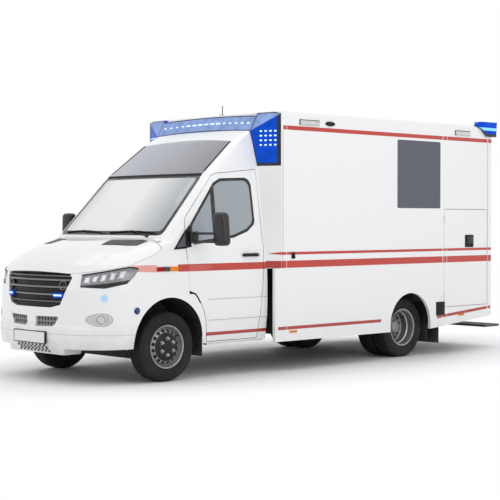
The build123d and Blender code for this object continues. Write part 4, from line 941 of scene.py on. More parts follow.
# Outlines of the glass, in mm: Y and Z for the windscreen, X and Z for the rest
WINDSCREEN_CLEAR = [(-820, 1522), (820, 1522), (762, 2086), (-762, 2086)]
DOOR_WINDOW = [
    (-318, 1378), (-318, 1588), (-690, 2030), (-790, 2078),
    (-1235, 2096), (-1250, 1600), (-1130, 1515), (-930, 1452),
]
WINDOW_BAR = [(-640, 1300), (-690, 1300), (-690, 2200), (-640, 2200)]
QUARTER_PANE = [(-75, 1337), (-262, 1347), (-262, 1548)]
QUARTER_BORDER = 19
DOOR_CORNER = [(-200, 1344), (-320, 1362), (-320, 1592), (-200, 1483)]
# Wipers, in mm: Y of each blade's root and tip, Z of its ends, how far its middle rises
WIPER_BLADES = ((760, 90), (-40, -730))
WIPER_Z, WIPER_RISE, WIPER_STEPS = 1500, 16, 6
# Foot of a wiper's arm: X in mm on the middle line, its fall for each mm of Y, Z in mm, share along the blade
ARM_X, ARM_FALL, ARM_Z, ARM_SHARE = 62, 0.045, 1470, 0.12


class AMBULANCE_OT_glazing(Operator):
    """Adds black borders, the quarter panes, window bars, the wipers and the gutter under them."""
    bl_idname = "ambulance.glazing"
    bl_label = "Glass borders and wipers"

    def execute(self, context):
        width = context.scene.ambulance_sizes.rubber * 1000
        clear = front_outline(rounded(WINDSCREEN_CLEAR, 45))
        self.border("windscreen", clear, Vector((1, 0, 0)))
        for side, sign in SIDES:
            glass = f"door_glass_{side}"
            clear = side_outline(rounded(shrunk(DOOR_WINDOW, width), 105))
            self.border(glass, clear, Vector((0, sign, 0)))
            planes, inside = side_outline(rounded(shrunk(DOOR_WINDOW, -4), 130))
            skin_piece(
                f"{glass}_corners", glass, planes, lambda c, n: n.y * sign > 0.25 and not inside(c),
                0.0022, 0.002, "white_paint",
            )
            bm = bmesh.new()
            side_band(bm, glass, WINDOW_BAR, sign, 0.3, 0, 0.004, 0.005)
            piece(f"window_bar_{side}", bm, BODY_OF[glass], "gloss_black")
            door = f"cab_door_{side}"
            bm = bmesh.new()
            side_band(bm, door, DOOR_CORNER, sign, -0.1, 0.85, 0.0015, 0.001)
            piece(f"door_corner_{side}", bm, BODY_OF[door], "black_plastic")
            self.quarter_pane(side, sign)
        self.wipers()
        return {"FINISHED"}

    @staticmethod
    def border(node, clear, out):
        """A black band round the clear part of a pane."""
        planes, inside = clear
        skin_piece(
            f"{node}_border", node, planes, lambda c, n: n.dot(out) > 0.25 and not inside(c),
            0.0012, 0.0012, "gloss_black",
        )

    @staticmethod
    def quarter_pane(side, sign):
        """The small fixed pane ahead of the door, with its border."""
        planes, inside = side_outline(QUARTER_PANE)
        inner_planes, inner = side_outline(shrunk(QUARTER_PANE, QUARTER_BORDER))
        for name, ring, lift, finish, slot in (
            ("quarter_border", True, 0.0030, "gloss_black", "black_plastic"),
            ("quarter_pane", False, 0.0020, "box_glass", "glass"),
        ):
            def keep(centre, normal):
                on_skin = normal.y * sign > 0.35 and centre.y * sign > 0.85
                return on_skin and inside(centre) and inner(centre) != ring

            skin_piece(f"{name}_{side}", "cab_sides", planes + inner_planes, keep, lift, lift, finish)

    @staticmethod
    def wipers():
        """Two wiper arms with blades, lying along the windscreen's foot, and the white gutter below them."""
        bm = bmesh.new()
        for root_y, tip_y in WIPER_BLADES:
            points = []
            for step in range(WIPER_STEPS + 1):
                share = step / WIPER_STEPS
                y = root_y + (tip_y - root_y) * share
                z = WIPER_Z + WIPER_RISE * math.sin(math.pi * share)
                points.append(hit("windscreen", at(AHEAD, y, z), (-1, 0, 0)))
            for (a, n_a), (b, n_b) in zip(points, points[1:]):
                add_rod(bm, a + n_a * 0.012, b + n_b * 0.012, 0.005, 8)
                add_rod(bm, a + n_a * 0.004, b + n_b * 0.004, 0.004, 6)
            middle, normal = points[WIPER_STEPS // 2]
            base_y = root_y - (root_y - tip_y) * ARM_SHARE
            base = at(ARM_X - ARM_FALL * abs(base_y), base_y, ARM_Z)
            add_rod(bm, base, middle + normal * 0.020, 0.008, 8, 0.005)
            add_rod(bm, base - Vector((0.03, 0, 0.04)), base + Vector((0.005, 0, 0.012)), 0.020, 14)
        piece("wipers", bm, ROOT, "black_plastic")
        bm = bmesh.new()
        skin(bm, "scuttle", (), lambda c, n: n.z > 0.5, 0.0)
        bmesh.ops.translate(bm, vec=(0.042, 0, -0.056), verts=bm.verts)
        piece("scuttle_gutter", bm, ROOT, "white_paint")


# Bright modules behind the head lamp's cover, in mm: place along the corner, foot Z and top Z
LAMP_MODULES = (
    (105, 1018, 1078), (25, 1026, 1092), (-60, 1034, 1106), (-148, 1046, 1120), (-236, 1064, 1134),
)
MODULE_WIDTH, MODULE_LEAN = 56, 26
# Top of the dark band at the head lamp's foot: a place on its plane and the plane's way down
BAND_PLACE, BAND_DOWN = at(860, 0, 992), Vector((-0.16, 0, -1)).normalized()
# Turned outlines in metres, as (axial, radial) points
FOG_RING = ((-0.010, 0.0595), (0.004, 0.0595), (0.006, 0.055), (0.004, 0.047), (-0.012, 0.042))
FOG_GLASS = ((-0.012, 0.044), (-0.004, 0.038), (0.0, 0.024), (0.002, 0.0))
HORN = ((0, 0.046), (0.022, 0.045), (0.014, 0.034), (0.020, 0.014), (0.022, 0.0))
HORN_RIM = ((0.018, 0.048), (0.025, 0.047), (0.027, 0.043), (0.024, 0.039), (0.019, 0.040))
RING_LAMP = ((-0.004, 0.036), (0.003, 0.036), (0.004, 0.031), (0.002, 0.020), (0.003, 0.0))
RING_DOT = ((0, 0.0080), (0.004, 0.0060), (0.005, 0.0))
DOME_BASE = ((-0.003, 0.034), (0.006, 0.034), (0.008, 0.030), (0.006, 0.026))
DOME_HEIGHT, DOME_RADIUS = 0.026, 0.027
RING_DOTS = 8
# Pale hollow round a fog lamp, in metres: height of its middle line, and how far clear of the lamp it stays.
# Its grey fill and darker edge line are painted shade in the hollow
BEZEL_Z, BEZEL_CLEAR, BEZEL_STEPS = 0.658, 0.0605, 24
# Slats of the grille, in mm: low edge and height
GRILLE_SLATS = ((820, 14), (885, 22), (960, 22), (1030, 22), (1074, 14))
# Strip of holes in the bumper's chin, in metres: width and height of a hole, left end, foot
HOLE_WIDTH, HOLE_HEIGHT, HOLES_LEFT, HOLES_FOOT = 0.031, 0.020, -0.2635, 0.314
HOLE_COLUMNS, HOLE_ROWS = 17, 4
# Low and high edge of the line of painted shade along the bumper's lip, and the X behind which it ends, in mm
LIP_LOW, LIP_HIGH, LIP_END = 502, 509, 400
# Front wheel arch, in mm
ARCH_X, ARCH_Z, ARCH_RADIUS = -8, 405, 450
# Corners of the left vent in the bonnet, X and Y in mm
BONNET_VENT = [(443, 445), (254, 383), (95, 787), (261, 799)]


class AMBULANCE_OT_front(Operator):
    """Adds the lamps, grille trim, bumper details, arch linings, bonnet vents and the blank plate."""
    bl_idname = "ambulance.front"
    bl_label = "Front end"

    def execute(self, context):
        self.head_lamps()
        self.lamp_modules()
        self.fog_lamps()
        self.grille()
        self.plate()
        self.bumper()
        self.arch_linings()
        bm = bmesh.new()
        for _, sign in SIDES:
            planes, inside = plan_outline([(x, sign * y) for x, y in BONNET_VENT])
            skin(bm, "bonnet", planes, lambda c, n: n.z > 0.4 and c.z > 1.30 and inside(c), 0.003, 0.003)
        piece("bonnet_vents", bm, "bonnet", "vent_mesh")
        for side, sign in SIDES:
            self.blue_lamps(side, sign)
        return {"FINISHED"}

    @staticmethod
    def lamp_face(sign):
        """A test of what faces out on one head lamp."""
        out, _ = corner_axes(sign)
        return lambda centre, normal: normal.dot(out) > 0.25 and centre.y * sign > 0 and centre.z > 0.8

    def head_lamps(self):
        """Clear cover, dark housing, a dark lower band and a seal along the top of each lamp."""
        cover, housing, band, seal = (bmesh.new() for _ in range(4))
        for _, sign in SIDES:
            face_out = self.lamp_face(sign)

            def in_band(centre, normal):
                return face_out(centre, normal) and (centre - BAND_PLACE).dot(BAND_DOWN) > 0

            skin(cover, "front_lamps", (), face_out, -0.0005, 0.004)
            skin(housing, "front_lamps", (), face_out, -0.006, -0.005)
            skin(band, "front_lamps", ((BAND_PLACE, BAND_DOWN),), in_band, 0.0008, 0.003)
            face = bmesh.new()
            skin(face, "front_lamps", (), face_out, 0.001)
            for edge in face.edges:
                a, b = (vert.co for vert in edge.verts)
                above = edge.is_boundary and ((a + b) / 2).z > edge.link_faces[0].calc_center_median().z
                if above and abs((b - a).normalized().z) < 0.6:
                    add_rod(seal, a, b, 0.0065, 8)
            face.free()
        lamp = piece("head_lamp_housing", housing, ROOT, "lamp_dark")
        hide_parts("front_lamps")
        piece("head_lamp_cover", cover, ROOT, "clear_lens")
        piece("head_lamp_band", band, ROOT, "gloss_black")
        piece("head_lamp_seal", seal, ROOT, "seal_rubber")

    def lamp_modules(self):
        """Leaning bright modules inside each head lamp, with a lens in each."""
        modules, glow = bmesh.new(), bmesh.new()
        for _, sign in SIDES:
            face_out = self.lamp_face(sign)
            _, along = corner_axes(sign)
            for middle, foot, top in LAMP_MODULES:
                right, left = middle - MODULE_WIDTH / 2, middle + MODULE_WIDTH / 2
                corners = [(right, foot), (left, foot), (left - MODULE_LEAN, top), (right - MODULE_LEAN, top)]
                corners = [(u / 1000 + AXLE_X * DIAGONAL.y, z / 1000) for u, z in corners]
                for bm, inset, lift in ((modules, 0.0, -0.0042), (glow, 0.011, -0.0030)):
                    planes, inside = outline_planes(shrunk(corners, inset), along, (0, 0, 1))
                    skin(bm, "front_lamps", planes, lambda c, n: face_out(c, n) and inside(c), lift)
        piece("head_lamp_modules", modules, ROOT, "lamp_reflector")
        piece("head_lamp_lenses", glow, ROOT, "lamp_lens")

    @staticmethod
    def fog_lamps():
        """Round fog lamps near the outer end of pale drop-shaped bezels, whose grey fill and darker edge are
        painted shade.
        """
        ring, glass = bmesh.new(), bmesh.new()
        bezels = {"fog_bezel_edges": bmesh.new(), "fog_bezels": bmesh.new()}
        for _, sign in SIDES:
            place = on_corner("front_lamps", 762, 859, 660, sign)
            add_lathe(ring, FOG_RING, place, 40)
            add_lathe(glass, FOG_GLASS, place, 36)
            out, along = corner_axes(sign)
            centre = place.translation
            start = centre.dot(along)
            drop = []
            for step in range(BEZEL_STEPS):
                angle = 2 * math.pi * step / BEZEL_STEPS
                reach = 0.020 + 0.140 * math.cos(angle)
                drop.append((start + reach, BEZEL_Z + (0.066 - 0.10 * reach) * math.sin(angle)))
            for name, inset, lift in (("fog_bezel_edges", 0.0, 0.0012), ("fog_bezels", 0.007, 0.0030)):
                planes, inside = outline_planes(shrunk(drop, inset), along, (0, 0, 1))

                def keep(c, n):
                    clear = (c - centre).length > BEZEL_CLEAR
                    return n.dot(out) > 0.4 and clear and c.y * sign > 0.5 and inside(c)

                skin(bezels[name], "front_bumper", planes, keep, lift, lift)
        piece("fog_bezel_edges", bezels["fog_bezel_edges"], ROOT, "crease_shade_grey")
        piece("fog_bezels", bezels["fog_bezels"], ROOT, "recess_shade_white")
        piece("fog_lamp_rings", ring, ROOT, "chrome")
        piece("fog_lamp_lenses", glass, ROOT, "white_lens")

    @staticmethod
    def grille():
        """Bright edges on the slats, mesh in the lower openings, horns with grey rims as a painted highlight,
        and two small lamps.
        """
        bm = bmesh.new()
        for z, height in GRILLE_SLATS:
            low, high = z + 3, z + height - 3
            corners = [(-700, low), (700, low), (700, high), (-700, high)]
            front_band(bm, "front_grille", corners, 0.5, 0.0012, 0.001)
        piece("grille_trim", bm, ROOT, "slat_grey")
        skin_piece(
            "lower_mesh", "front_grille", (), lambda c, n: n.x > 0.4 and c.z < 0.72,
            0.001, 0.0, "front_mesh",
        )
        horns, rims, lamps, strips = (bmesh.new() for _ in range(4))
        for _, sign in SIDES:
            place = on_front("front_grille", sign * 440, 985)
            add_lathe(horns, HORN, place, 32)
            add_lathe(rims, HORN_RIM, place, 32)
            place = on_front("front_grille", sign * 405, 890)
            add_box(lamps, (-0.062, -0.026, -0.004), (0.062, 0.026, 0.020), 0.006, 2, place)
            add_box(strips, (-0.052, -0.008, 0.019), (0.052, 0.008, 0.0225), 0.003, 2, place)
        piece("grille_horns", horns, ROOT, "black_plastic")
        # The horns' grey metal rims are a painted highlight on the black horns
        piece("grille_horn_rim_highlights", rims, ROOT, "slat_grey")
        piece("grille_lamps", lamps, ROOT, "blue_lens")
        piece("grille_lamp_strips", strips, ROOT, "led_white")

    @staticmethod
    def plate():
        """The blank plate in its frame."""
        frame_part, sheet = bmesh.new(), bmesh.new()
        point, _ = hit("front_bumper", at(AHEAD, 0, 463), (-1, 0, 0))
        place = facing(point, (1, 0, 0.02))
        add_box(frame_part, (-0.277, -0.063, -0.012), (0.277, 0.063, 0.006), 0.004, 2, place)
        add_box(sheet, (-0.262, -0.054, 0.0), (0.262, 0.054, 0.0085), 0.002, 2, place)
        piece("plate_frame", frame_part, ROOT, "black_plastic")
        piece("blank_plate", sheet, ROOT, "plate_white")

    @staticmethod
    def bumper():
        """The dark strip of holes under the plate, and a line of painted shade along the lip."""
        steps = range(HOLE_COLUMNS + 1)
        planes = [(Vector((0, HOLES_LEFT + HOLE_WIDTH * step, 0)), Vector((0, 1, 0))) for step in steps]
        steps = range(HOLE_ROWS + 1)
        planes += [(Vector((0, 0, HOLES_FOOT + HOLE_HEIGHT * step)), Vector((0, 0, 1))) for step in steps]

        def hole(centre, normal):
            column = math.floor((centre.y - HOLES_LEFT) / HOLE_WIDTH)
            row = math.floor((centre.z - HOLES_FOOT) / HOLE_HEIGHT)
            on_chin = normal.x > 0.2 and 0 <= column < HOLE_COLUMNS and 0 <= row < HOLE_ROWS
            return on_chin and (column + row) % 2 == 0

        def on_lip(centre, normal):
            out = normal.z < 0.6 and normal.x > -0.2 and centre.x > at(LIP_END, 0, 0).x
            return out and LIP_LOW / 1000 < centre.z < LIP_HIGH / 1000

        skin_piece("chin_holes", "front_bumper", planes, hole, 0.0012, 0.0, "seal_rubber")
        planes = [(at(0, 0, z), Vector((0, 0, 1))) for z in (LIP_LOW, LIP_HIGH)]
        skin_piece("bumper_lip_shade_line", "front_bumper", planes, on_lip, 0.0008, 0.0, "recess_shade_white")

    @staticmethod
    def arch_linings():
        """Black linings on the inner edges of the front wheel arches."""
        middle = at(ARCH_X, 0, ARCH_Z)
        bm = bmesh.new()

        def on_edge(centre, normal):
            reach = Vector((centre.x - middle.x, 0, centre.z - middle.z))
            near = abs(reach.length - ARCH_RADIUS / 1000) < 0.006
            return near and normal.dot(reach.normalized()) < -0.8 and abs(centre.y) > 0.5

        for node in ("front_bumper", "front_wings", "cab_sides"):
            skin(bm, node, (), on_edge, 0.0006)
        piece("arch_linings", bm, ROOT, "liner_plastic")

    @staticmethod
    def blue_lamps(side, sign):
        """A ring of small blue lamps and a blue dome on one end of the bumper."""
        ring, dots = bmesh.new(), bmesh.new()
        place = on_corner("front_bumper", 735, 881, 870, sign)
        add_lathe(ring, RING_LAMP, place, 32)
        for step in range(RING_DOTS):
            turn = Matrix.Rotation(2 * math.pi * step / RING_DOTS, 4, "Z")
            add_lathe(dots, RING_DOT, place @ turn @ Matrix.Translation((0.025, 0, 0.003)), 12)
        piece(f"ring_lamp_{side}", ring, ROOT, "white_lens")
        piece(f"ring_lamp_dots_{side}", dots, ROOT, "led_blue")
        base, dome = bmesh.new(), bmesh.new()
        place = on_side("front_bumper", 425, 739, sign)
        add_lathe(base, DOME_BASE, place, 32)
        angles = [math.radians(angle) for angle in range(0, 91, 15)]
        profile = [(DOME_HEIGHT * math.sin(angle), DOME_RADIUS * math.cos(angle)) for angle in angles]
        add_lathe(dome, profile, place, 28)
        piece(f"dome_lamp_base_{side}", base, ROOT, "gloss_black")
        piece(f"dome_lamp_{side}", dome, ROOT, "dome_lens")


# Light bar, in mm: Z of its foot and top at the middle, and their drops at a distance from the middle
BAR_FOOT, BAR_TOP = 2632, 2796
FOOT_DROP, TOP_DROP, DROP_REACH = 55, 42, 1110
# Dark lines along the bar: low Z, high Z, drop
BAR_LINES = ((2632, 2642, FOOT_DROP), (2786, 2800, TOP_DROP))
BAR_LINE_HALF, BAR_LINE_STEPS = 778, 12
# Bright dashes: reach to both sides in mm, share of the bar's height, half lengths in metres, and the middle
# and reach in mm of the stretch that has the long ones
DASH_REACH, DASH_SHARE, LONG_DASH, SHORT_DASH = 700, 0.52, 0.034, 0.018
LONG_MIDDLE, LONG_REACH = -60, 320
# Front facet of a corner light: its way out, then X and Y in mm of its outer end and of its run inward
FACET_OUT = (0.9106, 0.4132)
FACET_END, FACET_RUN = (-1479, 1105), (148, -327)
# Dots on the facet: rows, columns, Z of the top row and its distance to the next in mm, shares of the run
DOT_ROWS, DOT_COLUMNS, DOT_TOP, DOT_DOWN, DOT_START, DOT_SHARE = 4, 4, 2600, 50, 0.18, 0.155
# Dark edge of the corner lights, in mm: below this Z, or further out than this Y
EDGE_Z, EDGE_Y = 2255, 1068
# Bands over the windscreen, in mm: name, low Z, high Z, finish
HEADER_BANDS = (("header_line", 2088, 2130, "seal_rubber"), ("header_film", 2130, 2156, "grey_panel"))
# Rear corner lights, in mm: top of the foot frame, low and high edge of the bright band
BEACON_FOOT, GLOW_LOW, GLOW_HIGH = 2722, 2765, 2800
# Cover of the aerial on the box roof, in mm: X, Z above which it starts, radius
AERIAL_X, AERIAL_FOOT, AERIAL_RADIUS = -1640, 2821.5, 45
# Grey part of the deflector between its black edges, Y and Z in mm
DEFLECTOR_CLEAR = [(688, 2600), (769, 2152), (-769, 2152), (-688, 2600)]


class AMBULANCE_OT_roof_lights(Operator):
    """Adds bright dashes, dots and dark frames to the blue roof lights, and lines round the deflector."""
    bl_idname = "ambulance.roof_lights"
    bl_label = "Roof lights"

    def execute(self, context):
        count = context.scene.ambulance_sizes.bar_dashes
        dashes, frames = bmesh.new(), bmesh.new()
        for step in range(count):
            y = -DASH_REACH + 2 * DASH_REACH * step / (count - 1)
            sag = (y / DROP_REACH) ** 2
            foot, top = BAR_FOOT - FOOT_DROP * sag, BAR_TOP - TOP_DROP * sag
            half = LONG_DASH if abs(y - LONG_MIDDLE) < LONG_REACH else SHORT_DASH
            place = on_front("light_bar", y, foot + (top - foot) * DASH_SHARE)
            add_box(dashes, (-half, -0.0085, -0.001), (half, 0.0085, 0.003), 0.003, 2, place)
        piece("bar_dashes", dashes, ROOT, "led_white")
        for low, high, most in BAR_LINES:
            for step in range(BAR_LINE_STEPS):
                a, b = (-BAR_LINE_HALF + 2 * BAR_LINE_HALF * end / BAR_LINE_STEPS for end in (step, step + 1))
                drop = [most * (y / DROP_REACH) ** 2 for y in (a, b)]
                corners = [(a, low - drop[0]), (b, low - drop[1]), (b, high - drop[1]), (a, high - drop[0])]
                front_band(frames, "light_bar", corners, 0.2, 0.0015)
        piece("bar_frame", frames, ROOT, "gloss_black")
        self.corner_lights()
        self.deflector_edges()
        self.beacons()
        return {"FINISHED"}

    @staticmethod
    def corner_lights():
        """Rows of bright dots on the corner lights' sides, with dark frames along their edges, and their tops
        painted paler blue as a painted highlight.
        """
        dots = bmesh.new()
        for _, sign in SIDES:
            facet = Vector((FACET_OUT[0], FACET_OUT[1] * sign, 0))
            for row in range(DOT_ROWS):
                z = DOT_TOP - row * DOT_DOWN
                for column in range(DOT_COLUMNS):
                    share = DOT_START + DOT_SHARE * column
                    x, y = (end + run * share for end, run in zip(FACET_END, FACET_RUN))
                    place = facing(*hit("corner_lights", at(x, sign * y, z) + facet, -facet))
                    add_box(dots, (-0.013, -0.008, -0.001), (0.013, 0.008, 0.003), 0.003, 2, place)
        piece("corner_light_dots", dots, ROOT, "led_white")
        framed_faces("corner_light_frames", "corner_lights", 0.012, 0.004, 0.0015)
        # The tops get the paler blue of the light bar as a painted highlight
        skin_piece(
            "corner_light_lit_tops", "corner_lights", (), lambda c, n: n.x > 0.1 and n.z > 0.15,
            0.0008, 0.0, "bar_lens",
        )
        planes = [(at(0, 0, EDGE_Z), Vector((0, 0, 1)))]
        planes += [(at(0, sign * EDGE_Y, 0), Vector((0, 1, 0))) for _, sign in SIDES]

        def on_edge(centre, normal):
            at_edge = centre.z < EDGE_Z / 1000 or abs(centre.y) > EDGE_Y / 1000
            return normal.x > 0.3 and normal.z < 0.15 and at_edge

        skin_piece(
            "corner_light_edges", "corner_lights", planes, on_edge,
            0.002, 0.0, "gloss_black",
        )

    @staticmethod
    def deflector_edges():
        """Black lines along the deflector's sides and over the windscreen, with grey film between."""
        planes, inside = front_outline(DEFLECTOR_CLEAR)
        skin_piece(
            "deflector_edges", "deflector_panel", (planes[0], planes[2]),
            lambda c, n: n.x > 0.2 and not inside(c), 0.0015, 0.001, "seal_rubber",
        )
        for name, low, high, finish in HEADER_BANDS:
            band = bmesh.new()
            for node in ("cab_roof", "roof_fairing"):
                front_band(band, node, [(-800, low), (800, low), (795, high), (-795, high)], 0.3, 0.0012)
            piece(name, band, ROOT, finish)

    @staticmethod
    def beacons():
        """Dark foot frames and bright bands on the rear corner lights, and a cover on the aerial's foot."""
        planes = [(at(0, 0, BEACON_FOOT), Vector((0, 0, 1)))]
        skin_piece(
            "beacon_frames", "rear_beacons", planes, lambda c, n: c.z < BEACON_FOOT / 1000 or n.z < -0.3,
            0.002, 0.0, "gloss_black",
        )
        planes = [(at(0, 0, z), Vector((0, 0, 1))) for z in (GLOW_LOW, GLOW_HIGH)]
        skin_piece(
            "beacon_glow", "rear_beacons", planes,
            lambda c, n: abs(n.y) > 0.5 and GLOW_LOW < c.z * 1000 < GLOW_HIGH,
            0.0012, 0.0, "led_blue",
        )
        foot = at(AERIAL_X, 0, 0).xy
        skin_piece(
            "aerial_cover", "box_roof", (),
            lambda c, n: c.z > AERIAL_FOOT / 1000 and (c.xy - foot).length < AERIAL_RADIUS / 1000,
            0.0012, 0.0, "black_plastic",
        )


# Left mirror, in mm: corners of its head, Z of its arms, low and high Z of its panes
MIRROR_LOW, MIRROR_HIGH = (-490, 1210, 1375), (-370, 1400, 1717)
MIRROR_ARMS = (1415, 1500)
MIRROR_PANES = ((1500, 1698), (1396, 1484))
# Shape of the head: depth at its foot and loss of depth at its sides as shares, half width in metres, and how
# much narrower its outer half is at the top
HEAD_FOOT, HEAD_BULGE, HEAD_HALF, HEAD_NARROWING = 0.72, 0.10, 0.095, 0.42


class AMBULANCE_OT_mirrors(Operator):
    """Makes the mirrors: rounded heads on double arms, with their glass."""
    bl_idname = "ambulance.mirrors"
    bl_label = "Mirrors"

    def execute(self, context):
        for side, sign in SIDES:
            body = BODY_OF[f"mirror_{side}"]
            shell, panes = bmesh.new(), bmesh.new()
            head_low, head_high = at(*MIRROR_LOW), at(*MIRROR_HIGH)
            made = add_box(shell, head_low, head_high, 0.056, 7)
            middle = (head_low + head_high) / 2
            for vert in made:
                rise = (vert.co.z - head_low.z) / (head_high.z - head_low.z)
                bulge = 1 - ((vert.co.y - middle.y) / HEAD_HALF) ** 2 * HEAD_BULGE
                depth = HEAD_FOOT + (1 - HEAD_FOOT) * rise
                if vert.co.x > middle.x:
                    vert.co.x = middle.x + (vert.co.x - middle.x) * depth * bulge
                if vert.co.y > middle.y:
                    vert.co.y = middle.y + (vert.co.y - middle.y) * (1.0 - HEAD_NARROWING * rise ** 2)
            for z in MIRROR_ARMS:
                add_rod(shell, at(-345, 985, z), at(-432, 1235, z), 0.013, 14)
            add_box(shell, at(-395, 958, 1400), at(-292, 1002, 1520), 0.012, 3)
            for z_low, z_high in MIRROR_PANES:
                add_box(panes, at(-491.5, 1250, z_low), at(-489.0, 1345, z_high), 0.001, 1)
            for bm in (shell, panes):
                if sign < 0:
                    bmesh.ops.scale(bm, vec=(1, -1, 1), verts=bm.verts)
            head = piece(f"mirror_shell_{side}", shell, body, "satin_black")
            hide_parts(f"mirror_{side}")
            piece(f"mirror_glass_{side}", panes, body, "chrome")
        return {"FINISHED"}


# Turned outlines in metres, as (axial, radial) points
DOOR_LOCK = ((-0.001, 0.010), (0.003, 0.010), (0.004, 0.008), (0.004, 0.0))
LOCKER_LOCK = ((0.004, 0.014), (0.014, 0.014), (0.016, 0.010), (0.016, 0.0))
OVAL_LAMP = ((-0.002, 0.026), (0.012, 0.025), (0.016, 0.016), (0.017, 0.0))
# Marker lamps on the wings, in mm: name, front X, rear X, finish, slot
MARKERS = (
    ("marker_red", 165, 78, "red_lens", "red_lens"),
    ("marker_dark", 78, -2, "gloss_black", "black_plastic"),
    ("marker_amber", -2, -111, "amber_lens", "red_lens"),
)
MARKER_LOW, MARKER_HIGH = 1120, 1165
# Raised strip along the cab's flank, in mm: low and high Z, front and rear X, half width of its creases,
# which are grey lines of painted shade
STRIP_LOW, STRIP_HIGH, STRIP_FRONT, STRIP_REAR, CREASE_HALF = 600, 815, -515, -1374, 3
# Work lights on the box, in mm: front X, rear X, Z
WORK_LIGHTS = ((-1768, -2070, 2700), (-4513, -4795, 2706))
# Seams at the box's corners, in mm: X, low Z, high Z
BOX_SEAMS = ((-1507, 1200, 2614), (-5172, 560, 2610))
BOX_SEAM_Y = 1110.4
# Small fittings on the box, X and Z in mm
OVAL_PLACE, VENT_PLACE = (-2248, 2708), (-4224, 560)
HOOK_PLACE = {"left": (-1661, 1252), "right": (-1590, 1252)}
BOX_MARKERS = ((-1662, 425), (-4635, 468))
# Rubber sheets, in mm: rear and front X, inner and outer Y, low and high Z, then edge radius in metres. The
# first darkens the gap ahead of the box as black rubber and as painted shade
RUBBER_AND_SHADE_SHEETS = (
    (-1479, -1470, 560, 1052, 400, 1112, 0.003),
    (-4246, -4234, 640, 1069, 138, 640, 0.004),
)
# Window of the entrance door, X and Z in mm, and the width of the rubber round a box window
ENTRANCE_WINDOW = [(-1810, 1500), (-2270, 1500), (-2270, 2350), (-1810, 2350)]
WINDOW_RUBBER = 26


